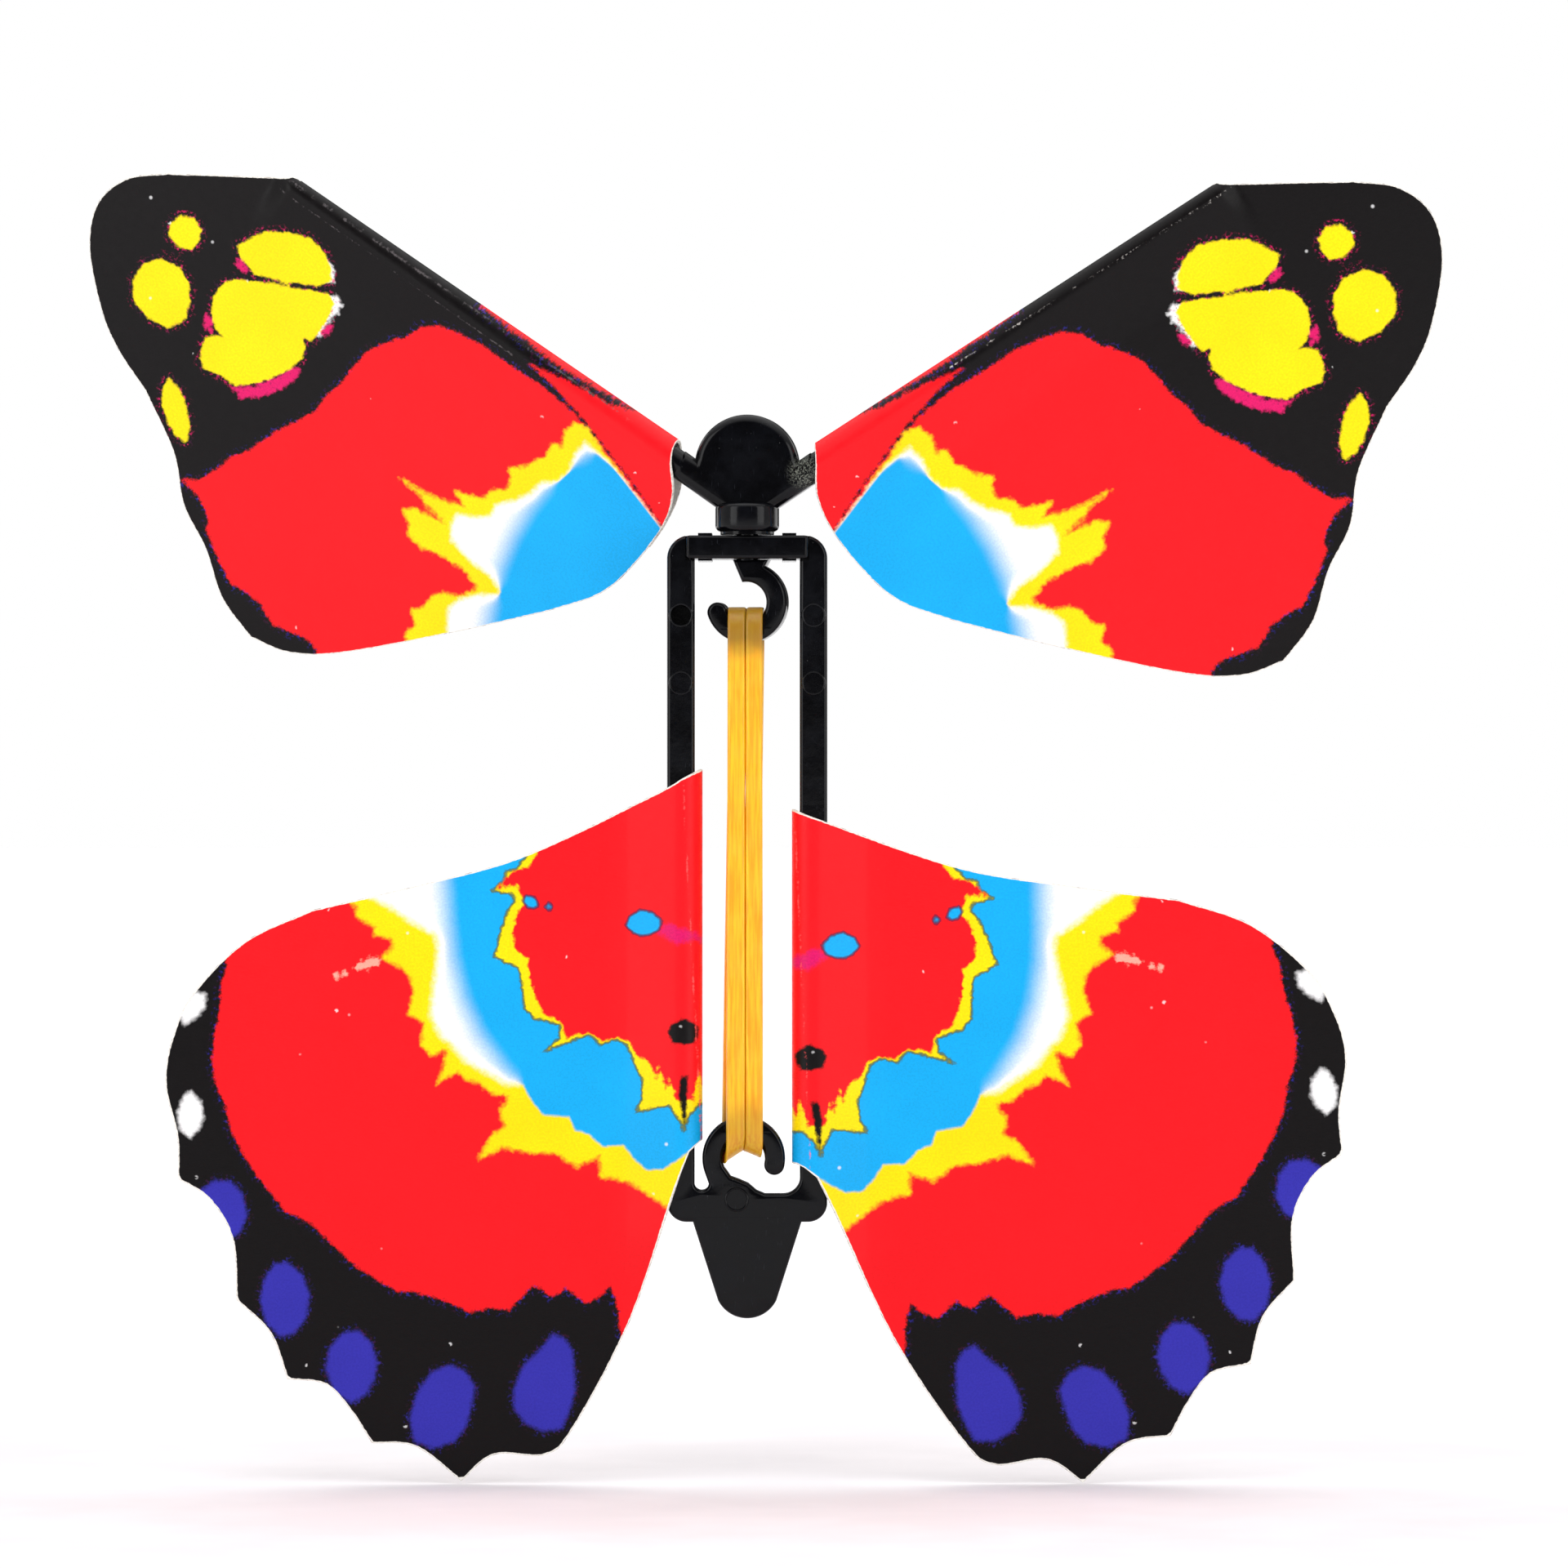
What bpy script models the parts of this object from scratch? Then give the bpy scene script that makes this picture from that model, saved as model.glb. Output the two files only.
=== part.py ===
"""Wind-up flying butterfly: a moulded frame and rotor, four card wings and two rubber bands.

Lengths are in metres and +Z is up. Inside the root empty the rotor's axis is the line x = y = 0,
z = 0 is the level of the lower wings' tips, and the front of the toy faces -Y. The root empty puts
the world's origin on the flat rear face of the tail.
"""

from math import acos, atan2, cos, pi, radians, sin, sqrt

import bmesh
import bpy
from mathutils import Matrix, Vector

MM = 0.001
GAP = 0.25 * MM  # between pieces that touch or turn on each other
EDGE = 0.35 * MM  # rounded edges of the mouldings

# Frame: two legs joined by a split bearing at the top and a base with a hook and a tail below
FRAME_HALF = 1.1 * MM  # half the legs' thickness, front to back
TAIL_HALF = 1.3 * MM  # from the middle to the tail's rear face
TAIL_FRONT = 1.12 * MM
LEG_INNER = 4.5 * MM
LEG_OUTER = 6.86 * MM
LEG_AXIS = (LEG_INNER + LEG_OUTER) / 2
FRAME_TOP = 81.15 * MM
TOP_CORNER = 2.0 * MM
BASE_TOP = 24.75 * MM
BASE_BOTTOM = 22.35 * MM
BASE_CORNER = 1.65 * MM
TAIL_WIDTH = 9.3 * MM
TAIL_TIP_RADIUS = 2.8 * MM
TAIL_TIP = 14.1 * MM
TAIL_ROOT_DEPTH = 0.7 * MM  # from the base's upper edge down to the thicker tail
TAIL_FACE = 19.0 * MM  # height of the origin on the tail

# Split bearing: a bar at the front closes on a block at the back, with the shaft between them
BAR_HALF_WIDTH = 5.2 * MM
BAR_BOTTOM = 79.1 * MM
BAR_TOP = 81.1 * MM
BAR_REACH = 2.15 * MM  # from the shaft's axis to the bar's outer face
BAR_EDGE, BLOCK_EDGE = 0.25 * MM, 0.2 * MM
POCKET_CLEARANCE = 0.1 * MM  # at each end of the bar and under it
SHAFT_RADIUS = 0.95 * MM
TAB_THICKNESS = 0.25 * MM
TAB_WIDTH = 1.2 * MM
TAB_OFFSET = 3.6 * MM
TAB_GAP = 0.05 * MM  # between a tab and the frame's top or the bearing's underside
TAB_LIP = 0.3 * MM  # how far a tab's end reaches over the rear block, and its depth
TAB_ROOT = 0.5 * MM  # how deep a tab is set in the bar

# Hooks: (centre x, centre z, inner radius, outer radius)
FRAME_HOOK = (-0.3 * MM, 27.8 * MM, 1.8 * MM, 3.55 * MM)
DRIVE_HOOK = (0.0, 75.4 * MM, 1.76 * MM, 3.5 * MM)
HOOK_HALF = 1.1 * MM
FRAME_HOOK_TIP, DRIVE_HOOK_TIP = -12, 199  # where each hook's arc ends, in degrees
HOOK_CREST = ((-1.97, 27.1), (-1.4, 26.25), (-0.7, 26.0), (0.1, 25.65), (0.8, 25.05), (1.5, 24.75))
WINDOW_CORNER = 1.4 * MM  # lower right corner of the opening
WINDOW_SLOT = 0.6 * MM  # radius of the slot between the left leg and the hook
SLOT_RISE = 0.3 * MM  # from the base's top to the bottom of the slot
SHANK = (-1.15 * MM, 1.25 * MM)  # left and right side of the drive hook's shank
SHANK_ROOT = 0.05 * MM  # from the bearing's underside down to the shank's top

# Rotor: a disc with a collar below and two tapered spars
DISC_CENTRE = 87.0 * MM
DISC_RADIUS = 4.5 * MM
DISC_HALF = 1.35 * MM
COLLAR_RADIUS = 2.73 * MM
COLLAR_BOTTOM = 81.2 * MM
COLLAR_TOP = 83.9 * MM
COLLAR_EDGE, DISC_EDGE = 0.4 * MM, 0.5 * MM
NECK_RADIUS, NECK_HEIGHT = 2.3 * MM, 0.25 * MM  # step under the collar
SHAFT_TAIL = 0.8 * MM  # from the bearing's underside down to the shaft's end
SPAR_ORIGIN = 83.1 * MM  # height where both spars' lines cross the axis
SPAR_ANGLE = {"left": radians(35.4), "right": radians(33.5)}
ROTOR_HEADING = radians(-8)  # where the rotor rests, turned about its axis
SPAR_START, SPAR_ROOT, SPAR_END = 1.5 * MM, 9.0 * MM, 48.0 * MM
SPAR_OVERLAP = 1.0 * MM  # length of spar inside the arm
ARM_RADIUS, ROOT_RADIUS, END_RADIUS = 1.3 * MM, 1.15 * MM, 0.45 * MM
SPAR_STEP = 0.03 * MM  # from the arm's radius in to the spar's

# Card wings
CARD = 0.3 * MM
FLAP_LENGTH = 3.2 * MM
FLAP_RISE = 0.62 * MM  # from the panel's middle to the flap's
TAPE = 0.12 * MM
TAPE_INSET = 0.4 * MM  # from the flap's edge and fold
UPPER_TAPE = (11 * MM, 46 * MM)  # ends of the strip along the spar
LOWER_TAPE = (-31.5 * MM, -6.5 * MM)  # ends of the strip along the leg
UPPER_TURN = {"left": radians(14), "right": radians(8)}  # about the spar, trailing edge back
UPPER_SLIDE = {"left": 0.3 * MM, "right": 0.0}
UPPER_CAMBER, UPPER_CHORD = 2.0 * MM, 36 * MM
UPPER_THROAT = 4.6 * MM  # from the spar to where the flap meets the panel
LOWER_SET = {"left": radians(2.8), "right": radians(-2.8)}  # of each outline about its leg
LOWER_SLIDE = {"left": 1.1 * MM, "right": -1.1 * MM}
LOWER_SHIFT = {"left": 0.7 * MM, "right": -0.7 * MM}  # where each card is folded, out from the leg
LOWER_TOP = 60.0 * MM
LOWER_CAMBER, LOWER_SPAN = 1.5 * MM, 45 * MM
LOWER_THROAT = 5.4 * MM
# Stations of each card: position, how much of the front bulge stays, and whether it is sleeved
UPPER_STATIONS = ((3, 1, True), (48.3, 1, True), (50.5, 0, False), (66, 0, False))
LOWER_STATIONS = (
    (3, 1, True),
    (-32.9, 1, True),
    (-39, 1, False),
    (-45, 0.3, False),
    (-50, 0, False),
    (-66, 0, False),
)
SLEEVE_RADIUS = 1.7 * MM  # middle of the card around a leg

# Outlines of the wings in millimetres, as stretches that are each smooth and meet at corners.
# Upper: (along the spar from the rotor's axis, across it). Lower: (out from the leg, up).
UPPER_OUTLINE = (
    ((8.9, -3.0), (48.6, -3.0)),
    ((48.6, -3.0), (48.6, -1.0)),
    ((48.6, -1.0), (58.6, 5.4)),
    ((58.6, 5.4), (61.5, 8.0), (62.6, 11.4), (61.2, 15.2), (57.4, 19.3), (54.3, 21.4), (50.4, 23.0)),
    ((50.4, 23.0), (45.4, 26.2), (42.2, 29.7), (38.5, 31.9), (35.0, 34.8), (31.0, 36.3)),
    ((31.0, 36.3), (27.3, 35.3), (23.1, 32.2), (15.7, 24.5), (9.6, 17.7)),
    ((9.6, 17.7), (6.6, 13.6), (5.5, 9.6), (5.2, 5.2), (5.9, 2.0), (7.6, -0.6), (8.9, -3.0)),
)
LOWER_OUTLINE = (
    ((-3.0, 0.0), (-1.2, -0.8), (1.2, -2.0), (12.5, -6.6), (21.0, -8.6), (31.6, -10.5)),
    (
        (31.6, -10.5),
        (37.5, -12.9),
        (42.3, -17.2),
        (44.4, -21.2),
        (45.1, -24.9),
        (44.3, -29.3),
        (44.4, -33.0),
    ),
    ((44.4, -33.0), (41.7, -34.9), (39.9, -38.4), (39.8, -43.6)),
    ((39.8, -43.6), (37.0, -46.6), (35.7, -50.6)),
    ((35.7, -50.6), (32.4, -51.2), (30.4, -53.4), (28.6, -56.4)),
    ((28.6, -56.4), (24.8, -56.9), (21.0, -60.0)),
    (
        (21.0, -60.0),
        (18.0, -57.9),
        (13.6, -58.1),
        (11.0, -55.9),
        (5.6, -46.9),
        (1.2, -36.0),
        (-0.2, -32.7),
    ),
    ((-0.2, -32.7), (-1.5, -31.6), (-3.0, -31.3)),
    ((-3.0, -31.3), (-3.0, 0.0)),
)

# Rubber bands: where each one's edges lie at the drive hook and at the frame's hook
BAND_THICKNESS = 1.1 * MM
BAND_SLACK = 0.15 * MM  # between a band and the hooks
BAND_BEND = 0.8 * MM
BAND_EDGES = {
    "left_rubber_band": ((-1.55 * MM, -0.1 * MM), (-2.0 * MM, -0.48 * MM)),
    "right_rubber_band": ((0.05 * MM, 1.45 * MM), (-0.33 * MM, 1.15 * MM)),
}

SIDES = {"left": -1, "right": 1}


def clear_scene():
    for obj in list(bpy.data.objects):
        bpy.data.objects.remove(obj, do_unlink=True)


def new_collection(name, hidden=False):
    collection = bpy.data.collections.new(name)
    collection.hide_render = hidden
    bpy.context.scene.collection.children.link(collection)
    return collection


def make_material(name, colour, roughness, metallic=0.0):
    material = bpy.data.materials.new(name)
    material.use_nodes = True
    shader = material.node_tree.nodes["Principled BSDF"]
    shader.inputs["Base Color"].default_value = (*colour, 1.0)
    shader.inputs["Roughness"].default_value = roughness
    shader.inputs["Metallic"].default_value = metallic
    material.diffuse_color = (*colour, 1.0)
    return material


clear_scene()
PARTS = new_collection("wind_up_butterfly")
CUTTERS = new_collection("cutters", hidden=True)

BLACK_PLASTIC = make_material("black_plastic", (0.01, 0.01, 0.014), 0.25)
PRINTED_CARD = make_material("printed_card", (0.85, 0.03, 0.04), 0.4)
ADHESIVE = make_material("adhesive_strip", (0.85, 0.83, 0.76), 0.5)
RUBBER = make_material("amber_rubber", (0.95, 0.5, 0.02), 0.45)

ROOT = bpy.data.objects.new("toy_root", None)
PARTS.objects.link(ROOT)
ROOT.location = (0, -TAIL_HALF, -TAIL_FACE)
ROTOR_AXIS = bpy.data.objects.new("rotor_axis", None)
PARTS.objects.link(ROTOR_AXIS)
ROTOR_AXIS.parent = ROOT
ROTOR_AXIS.rotation_euler = (0, 0, ROTOR_HEADING)


def place(obj, parent=ROOT, location=(0, 0, 0), rotation=(0, 0, 0)):
    obj.parent = parent
    obj.location = location
    obj.rotation_euler = rotation
    return obj


def empty(name, parent, location, rotation=(0, 0, 0)):
    obj = bpy.data.objects.new(name, None)
    PARTS.objects.link(obj)
    return place(obj, parent, location, rotation)


def finish_piece(obj, material, sharp_angle=35):
    obj.data.materials.clear()
    obj.data.materials.append(material)
    obj.data.shade_smooth()
    obj.data.set_sharp_from_angle(angle=radians(sharp_angle))
    return obj


def as_cutter(obj):
    for collection in obj.users_collection:
        collection.objects.unlink(obj)
    CUTTERS.objects.link(obj)
    obj.hide_render = True
    obj.display_type = "WIRE"
    return obj


def mesh_object(name, bm, collection=PARTS):
    bmesh.ops.recalc_face_normals(bm, faces=bm.faces)
    mesh = bpy.data.meshes.new(name)
    bm.to_mesh(mesh)
    bm.free()
    obj = bpy.data.objects.new(name, mesh)
    collection.objects.link(obj)
    return obj


def boolean(obj, other, operation):
    modifier = obj.modifiers.new(f"{operation.lower()}_{other.name}", "BOOLEAN")
    modifier.operation = operation
    modifier.object = as_cutter(other)
    modifier.solver = "EXACT"
    return modifier


def move_to(obj, parent):
    """Hangs a piece and the shapes joined to it on another empty."""
    obj.parent = parent
    for modifier in obj.modifiers:
        if modifier.type == "BOOLEAN":
            move_to(modifier.object, parent)


def box(name, low, high, rounded=0.0):
    bm = bmesh.new()
    bmesh.ops.create_cube(bm, size=1.0)
    low, high = Vector(low), Vector(high)
    size, middle = high - low, (high + low) / 2
    stretch = Matrix.Translation(middle) @ Matrix.Diagonal((*size, 1))
    bmesh.ops.transform(bm, matrix=stretch, verts=bm.verts)
    obj = mesh_object(name, bm)
    if rounded:
        bevel = obj.modifiers.new("rounded_edges", "BEVEL")
        bevel.width = rounded
        bevel.segments = 2
    return place(obj)


def rod(name, start, end, start_radius, end_radius, segments=24):
    """A round rod or cone from one point to another."""
    start, end = Vector(start), Vector(end)
    bm = bmesh.new()
    bmesh.ops.create_cone(
        bm,
        cap_ends=True,
        segments=segments,
        radius1=start_radius,
        radius2=end_radius,
        depth=(end - start).length,
    )
    turn = (end - start).to_track_quat("Z", "Y").to_matrix().to_4x4()
    bmesh.ops.transform(bm, matrix=Matrix.Translation((start + end) / 2) @ turn, verts=bm.verts)
    return place(mesh_object(name, bm))


def arc(centre, radius, start, end, steps=12):
    """Points on a circle in the outline's plane, angles in degrees, both ends included."""
    angles = (radians(start + (end - start) * i / steps) for i in range(steps + 1))
    return [(centre[0] + radius * cos(a), centre[1] + radius * sin(a)) for a in angles]


def smooth_stretch(points, steps):
    """A Catmull-Rom curve through the points, which leaves the last point to the next stretch."""
    if len(points) == 2:
        return [points[0]]
    first, last = Vector(points[0]), Vector(points[-1])
    knots = [2 * first - Vector(points[1]), *map(Vector, points), 2 * last - Vector(points[-2])]
    curve = []
    for a, b, c, d in zip(knots, knots[1:], knots[2:], knots[3:]):
        for i in range(steps):
            t = i / steps
            square = (2 * a - 5 * b + 4 * c - d) * t**2
            cube = (3 * b - a - 3 * c + d) * t**3
            curve.append((2 * b + (c - a) * t + square + cube) / 2)
    return [tuple(p) for p in curve]


def smooth_outline(stretches, steps=3):
    return [(x * MM, y * MM) for stretch in stretches for x, y in smooth_stretch(stretch, steps)]


def flat_piece(name, loops, half_thickness, edge=0.0, steps=2):
    """A flat moulding from outlines in the XZ plane: the first runs anticlockwise, holes clockwise."""
    curve = bpy.data.curves.new(name, "CURVE")
    curve.dimensions = "2D"
    curve.fill_mode = "BOTH"
    curve.extrude = half_thickness - edge
    curve.bevel_depth = edge
    curve.bevel_resolution = steps - 1 if edge else 0
    curve.offset = -edge
    for points in loops:
        spline = curve.splines.new("POLY")
        spline.points.add(len(points) - 1)
        for point, (x, z) in zip(spline.points, points):
            point.co = (x, z, 0, 1)
        spline.use_cyclic_u = True
    guide = bpy.data.objects.new(name + "_curve", curve)
    CUTTERS.objects.link(guide)
    guide.rotation_euler = (pi / 2, 0, 0)
    bpy.context.view_layer.update()
    graph = bpy.context.evaluated_depsgraph_get()
    mesh = bpy.data.meshes.new_from_object(guide.evaluated_get(graph))
    mesh.transform(guide.matrix_world)
    bpy.data.objects.remove(guide, do_unlink=True)
    bm = bmesh.new()
    bm.from_mesh(mesh)
    bpy.data.meshes.remove(mesh)
    bmesh.ops.remove_doubles(bm, verts=bm.verts, dist=0.002 * MM)
    return place(mesh_object(name, bm))


def turned_piece(name, profile, steps=48):
    """A solid of revolution about Z: profile is (radius, z) down its outer side from axis to axis."""
    bm = bmesh.new()
    verts = [bm.verts.new((radius, 0, z)) for radius, z in profile]
    for a, b in zip(verts, verts[1:]):
        bm.edges.new((a, b))
    mesh = bpy.data.meshes.new(name)
    bm.to_mesh(mesh)
    bm.free()
    obj = bpy.data.objects.new(name, mesh)
    PARTS.objects.link(obj)
    screw = obj.modifiers.new("turning", "SCREW")
    screw.steps = screw.render_steps = steps
    screw.use_merge_vertices = True
    screw.merge_threshold = 0.001 * MM
    return place(obj)


def hook_tip(hook, angle, start, end):
    """The round end of a hook whose arc ends at an angle: all angles in degrees."""
    x, z, inner, outer = hook
    middle, radius = (inner + outer) / 2, (outer - inner) / 2
    centre = (x + middle * cos(radians(angle)), z + middle * sin(radians(angle)))
    return arc(centre, radius, start, end, 8)


def tail_outline():
    """The tapered tail with its round tip, which starts inside the frame's base, anticlockwise."""
    half, tip = TAIL_WIDTH / 2, (0.0, TAIL_TIP + TAIL_TIP_RADIUS)
    rise = BASE_BOTTOM - tip[1]
    slope = pi / 2 - acos(TAIL_TIP_RADIUS / sqrt(half**2 + rise**2)) + atan2(half, rise)
    touch = (slope - pi / 2) * 180 / pi
    root = BASE_TOP - TAIL_ROOT_DEPTH
    sides = arc(tip, TAIL_TIP_RADIUS, 180 - touch, 360 + touch, 14)
    return [(-half, root), (-half, BASE_BOTTOM), *sides, (half, BASE_BOTTOM), (half, root)]


def frame_outline():
    outer, corner = LEG_OUTER, BASE_CORNER
    return [
        *arc((-outer + TOP_CORNER, FRAME_TOP - TOP_CORNER), TOP_CORNER, 90, 180, 6),
        *arc((-outer + corner, BASE_BOTTOM + corner), corner, 180, 270, 6),
        *arc((outer - corner, BASE_BOTTOM + corner), corner, 270, 360, 6),
        *arc((outer - TOP_CORNER, FRAME_TOP - TOP_CORNER), TOP_CORNER, 0, 90, 6),
    ]


def window_outline():
    """The opening between the legs, clockwise, which leaves the frame's hook standing in it."""
    x, z, inner, outer = FRAME_HOOK
    tip, slot = FRAME_HOOK_TIP, WINDOW_SLOT
    corner = (LEG_INNER - WINDOW_CORNER, BASE_TOP + WINDOW_CORNER)
    return [
        (LEG_INNER, BAR_BOTTOM),
        *arc(corner, WINDOW_CORNER, 0, -90, 5),
        *[(px * MM, pz * MM) for px, pz in reversed(HOOK_CREST)],
        *arc((x, z), inner, 195, tip, 18),
        *hook_tip(FRAME_HOOK, tip, tip + 180, tip + 360),
        *arc((x, z), outer, tip, 200, 22)[1:],
        *arc((-LEG_INNER + slot, BASE_TOP + slot + SLOT_RISE), slot, 0, -180, 8),
        (-LEG_INNER, BAR_BOTTOM),
    ]


def drive_hook_outline():
    """The hook under the bearing, anticlockwise from the top of its shank."""
    x, z, inner, outer = DRIVE_HOOK
    tip, shoulder = DRIVE_HOOK_TIP, BAR_BOTTOM - SHANK_ROOT
    return [
        (SHANK[1], shoulder),
        (SHANK[0], shoulder),
        *arc((x, z), inner, 101, tip - 360, 22),
        *hook_tip(DRIVE_HOOK, tip, tip - 180, tip)[1:],
        *arc((x, z), outer, tip, 422, 24)[1:],
    ]


def groove():
    """The shaft's clearance through the split bearing."""
    ends = (0, 0, BAR_BOTTOM - 2 * MM), (0, 0, FRAME_TOP + 2 * MM)
    return rod("shaft_clearance", *ends, *[SHAFT_RADIUS + GAP] * 2, segments=32)


def bearing_frame():
    frame = flat_piece("frame", [frame_outline(), window_outline()], FRAME_HALF, EDGE)
    pad = flat_piece("tail_pad", [tail_outline()], (TAIL_HALF + TAIL_FRONT) / 2, EDGE)
    pad.location.y = (TAIL_HALF - TAIL_FRONT) / 2
    boolean(frame, pad, "UNION")
    width = BAR_HALF_WIDTH + POCKET_CLEARANCE
    low, high = (-width, -3 * MM, BAR_BOTTOM - POCKET_CLEARANCE), (width, GAP / 2, FRAME_TOP + 2 * MM)
    boolean(frame, box("bar_pocket", low, high), "DIFFERENCE")
    low, high = (-BAR_HALF_WIDTH, FRAME_HALF / 2, BAR_BOTTOM), (BAR_HALF_WIDTH, BAR_REACH, FRAME_TOP)
    boolean(frame, box("rear_block", low, high, BLOCK_EDGE), "UNION")
    boolean(frame, groove(), "DIFFERENCE")
    return finish_piece(frame, BLACK_PLASTIC)


def tab(name, x, upper):
    """A tab of the bearing bar, which runs back over or under the rear block and hooks behind it."""
    low_x, high_x = x - TAB_WIDTH / 2, x + TAB_WIDTH / 2
    low = FRAME_TOP + TAB_GAP if upper else BAR_BOTTOM - TAB_GAP - TAB_THICKNESS
    high = low + TAB_THICKNESS
    rear = BAR_REACH + POCKET_CLEARANCE
    strap = box(name, (low_x, -1.6 * MM, low), (high_x, rear + TAB_LIP, high))
    ends = (low - TAB_LIP, high) if upper else (low, high + TAB_LIP)
    lip = box(name + "_lip", (low_x, rear, ends[0]), (high_x, rear + TAB_LIP + TAB_GAP, ends[1]))
    boolean(strap, lip, "UNION")
    ends = (BAR_TOP - TAB_ROOT, high) if upper else (low, BAR_BOTTOM + TAB_ROOT)
    root = box(name + "_root", (low_x, -1.7 * MM, ends[0]), (high_x, -0.9 * MM, ends[1]))
    boolean(strap, root, "UNION")
    return strap


def bearing_bar():
    """The bar that snaps over the shaft from the front, held by four tabs round the frame's top."""
    low, high = (-BAR_HALF_WIDTH, -BAR_REACH, BAR_BOTTOM), (BAR_HALF_WIDTH, -GAP / 2, BAR_TOP)
    bar = box("bearing_bar", low, high, BAR_EDGE)
    for side, sign in SIDES.items():
        for level in ("upper", "lower"):
            strap = tab(f"{side}_{level}_tab", sign * TAB_OFFSET, level == "upper")
            boolean(bar, strap, "UNION")
    boolean(bar, groove(), "DIFFERENCE")
    return finish_piece(bar, BLACK_PLASTIC)


def rounded_turning(radius, top, bottom, edge, steps=3):
    """Profile of a disc or collar with rounded rims, from the axis out, down and back."""
    upper = [(radius - edge + edge * sin(a), top - edge + edge * cos(a)) for a in quarter(steps)]
    lower = [(radius - edge + edge * cos(a), bottom + edge - edge * sin(a)) for a in quarter(steps)]
    return [(0, top), *upper, *lower, (0, bottom)]


def quarter(steps):
    return [pi / 2 * i / steps for i in range(steps + 1)]


def rotor():
    """Collar, shaft, disc, hook and both spars, moulded as one."""
    step = COLLAR_BOTTOM + NECK_HEIGHT
    collar = rounded_turning(COLLAR_RADIUS, COLLAR_TOP, step, COLLAR_EDGE)[:-1]
    neck = [(NECK_RADIUS, COLLAR_BOTTOM), (SHAFT_RADIUS, COLLAR_BOTTOM)]
    shaft = [(SHAFT_RADIUS, BAR_BOTTOM - SHAFT_TAIL), (0, BAR_BOTTOM - SHAFT_TAIL)]
    piece = turned_piece("rotor", [*collar, *neck, *shaft])
    disc = turned_piece("disc", rounded_turning(DISC_RADIUS, DISC_HALF, -DISC_HALF, DISC_EDGE), 64)
    place(disc, ROOT, (0, 0, DISC_CENTRE), (pi / 2, 0, 0))
    boolean(piece, disc, "UNION")
    for name, side in SIDES.items():
        angle = SPAR_ANGLE[name]
        start, joint, root, end = (
            (side * reach * cos(angle), 0, SPAR_ORIGIN + reach * sin(angle))
            for reach in (SPAR_START, SPAR_ROOT - SPAR_OVERLAP, SPAR_ROOT, SPAR_END)
        )
        boolean(piece, rod(f"{name}_arm", start, root, ARM_RADIUS, ROOT_RADIUS), "UNION")
        spar = rod(f"{name}_spar", joint, end, ROOT_RADIUS - SPAR_STEP, END_RADIUS)
        boolean(piece, spar, "UNION")
    boolean(piece, flat_piece("drive_hook", [drive_hook_outline()], HOOK_HALF, EDGE), "UNION")
    move_to(piece, ROTOR_AXIS)
    return finish_piece(piece, BLACK_PLASTIC)


def sleeve_section(radius, throat, reach, camber, arc_steps=14, panel_steps=6):
    """Section of a card folded round a rod at the origin: (distance out, depth), and the fold's index."""
    span = reach - throat
    shares = [i / panel_steps for i in range(panel_steps + 1)]
    panel = [(reach - span * share, camber * (1 - share) ** 2) for share in shares]
    front = -acos(radius / throat)
    back = atan2(FLAP_RISE, throat) + acos(radius / sqrt(throat**2 + FLAP_RISE**2)) - 2 * pi
    turns = [front + (back - front) * i / arc_steps for i in range(arc_steps + 1)]
    loop = [(radius * cos(a), radius * sin(a)) for a in turns]
    flap = [(throat, FLAP_RISE), (throat + FLAP_LENGTH, FLAP_RISE)]
    fold = min(range(len(loop)), key=lambda i: loop[i][0])
    return [*panel, *loop, *flap], len(panel) + fold


def curved_card(name, rows, place_point):
    """A card lofted through sections: each row is (position, section, fold, bulge, sleeved)."""
    bm = bmesh.new()
    grid = []
    for position, section, fold, bulge, sleeved in rows:
        count = len(section) if sleeved else fold + 1
        depths = [(d, y * bulge if y < 0 else y) for d, y in section[:count]]
        grid.append([bm.verts.new(place_point(position, d, y)) for d, y in depths])
    for upper, lower in zip(grid, grid[1:]):
        for i in range(min(len(upper), len(lower)) - 1):
            bm.faces.new((upper[i], upper[i + 1], lower[i + 1], lower[i]))
    card = mesh_object(name, bm)
    shell = card.modifiers.new("card_thickness", "SOLIDIFY")
    shell.thickness = CARD
    shell.offset = 0
    return card


def trimmed(card, outline, side):
    """Cuts a card to an outline, mirrored for the left wings."""
    points = [(side * x, z) for x, z in outline]
    area = sum(a[0] * b[1] - b[0] * a[1] for a, b in zip(points, points[1:] + points[:1]))
    blank = flat_piece(card.name + "_blank", [points if area > 0 else points[::-1]], 8 * MM)
    place(blank, card.parent, card.location, card.rotation_euler)
    boolean(card, blank, "INTERSECT")
    return finish_piece(card, PRINTED_CARD, 60)


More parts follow.
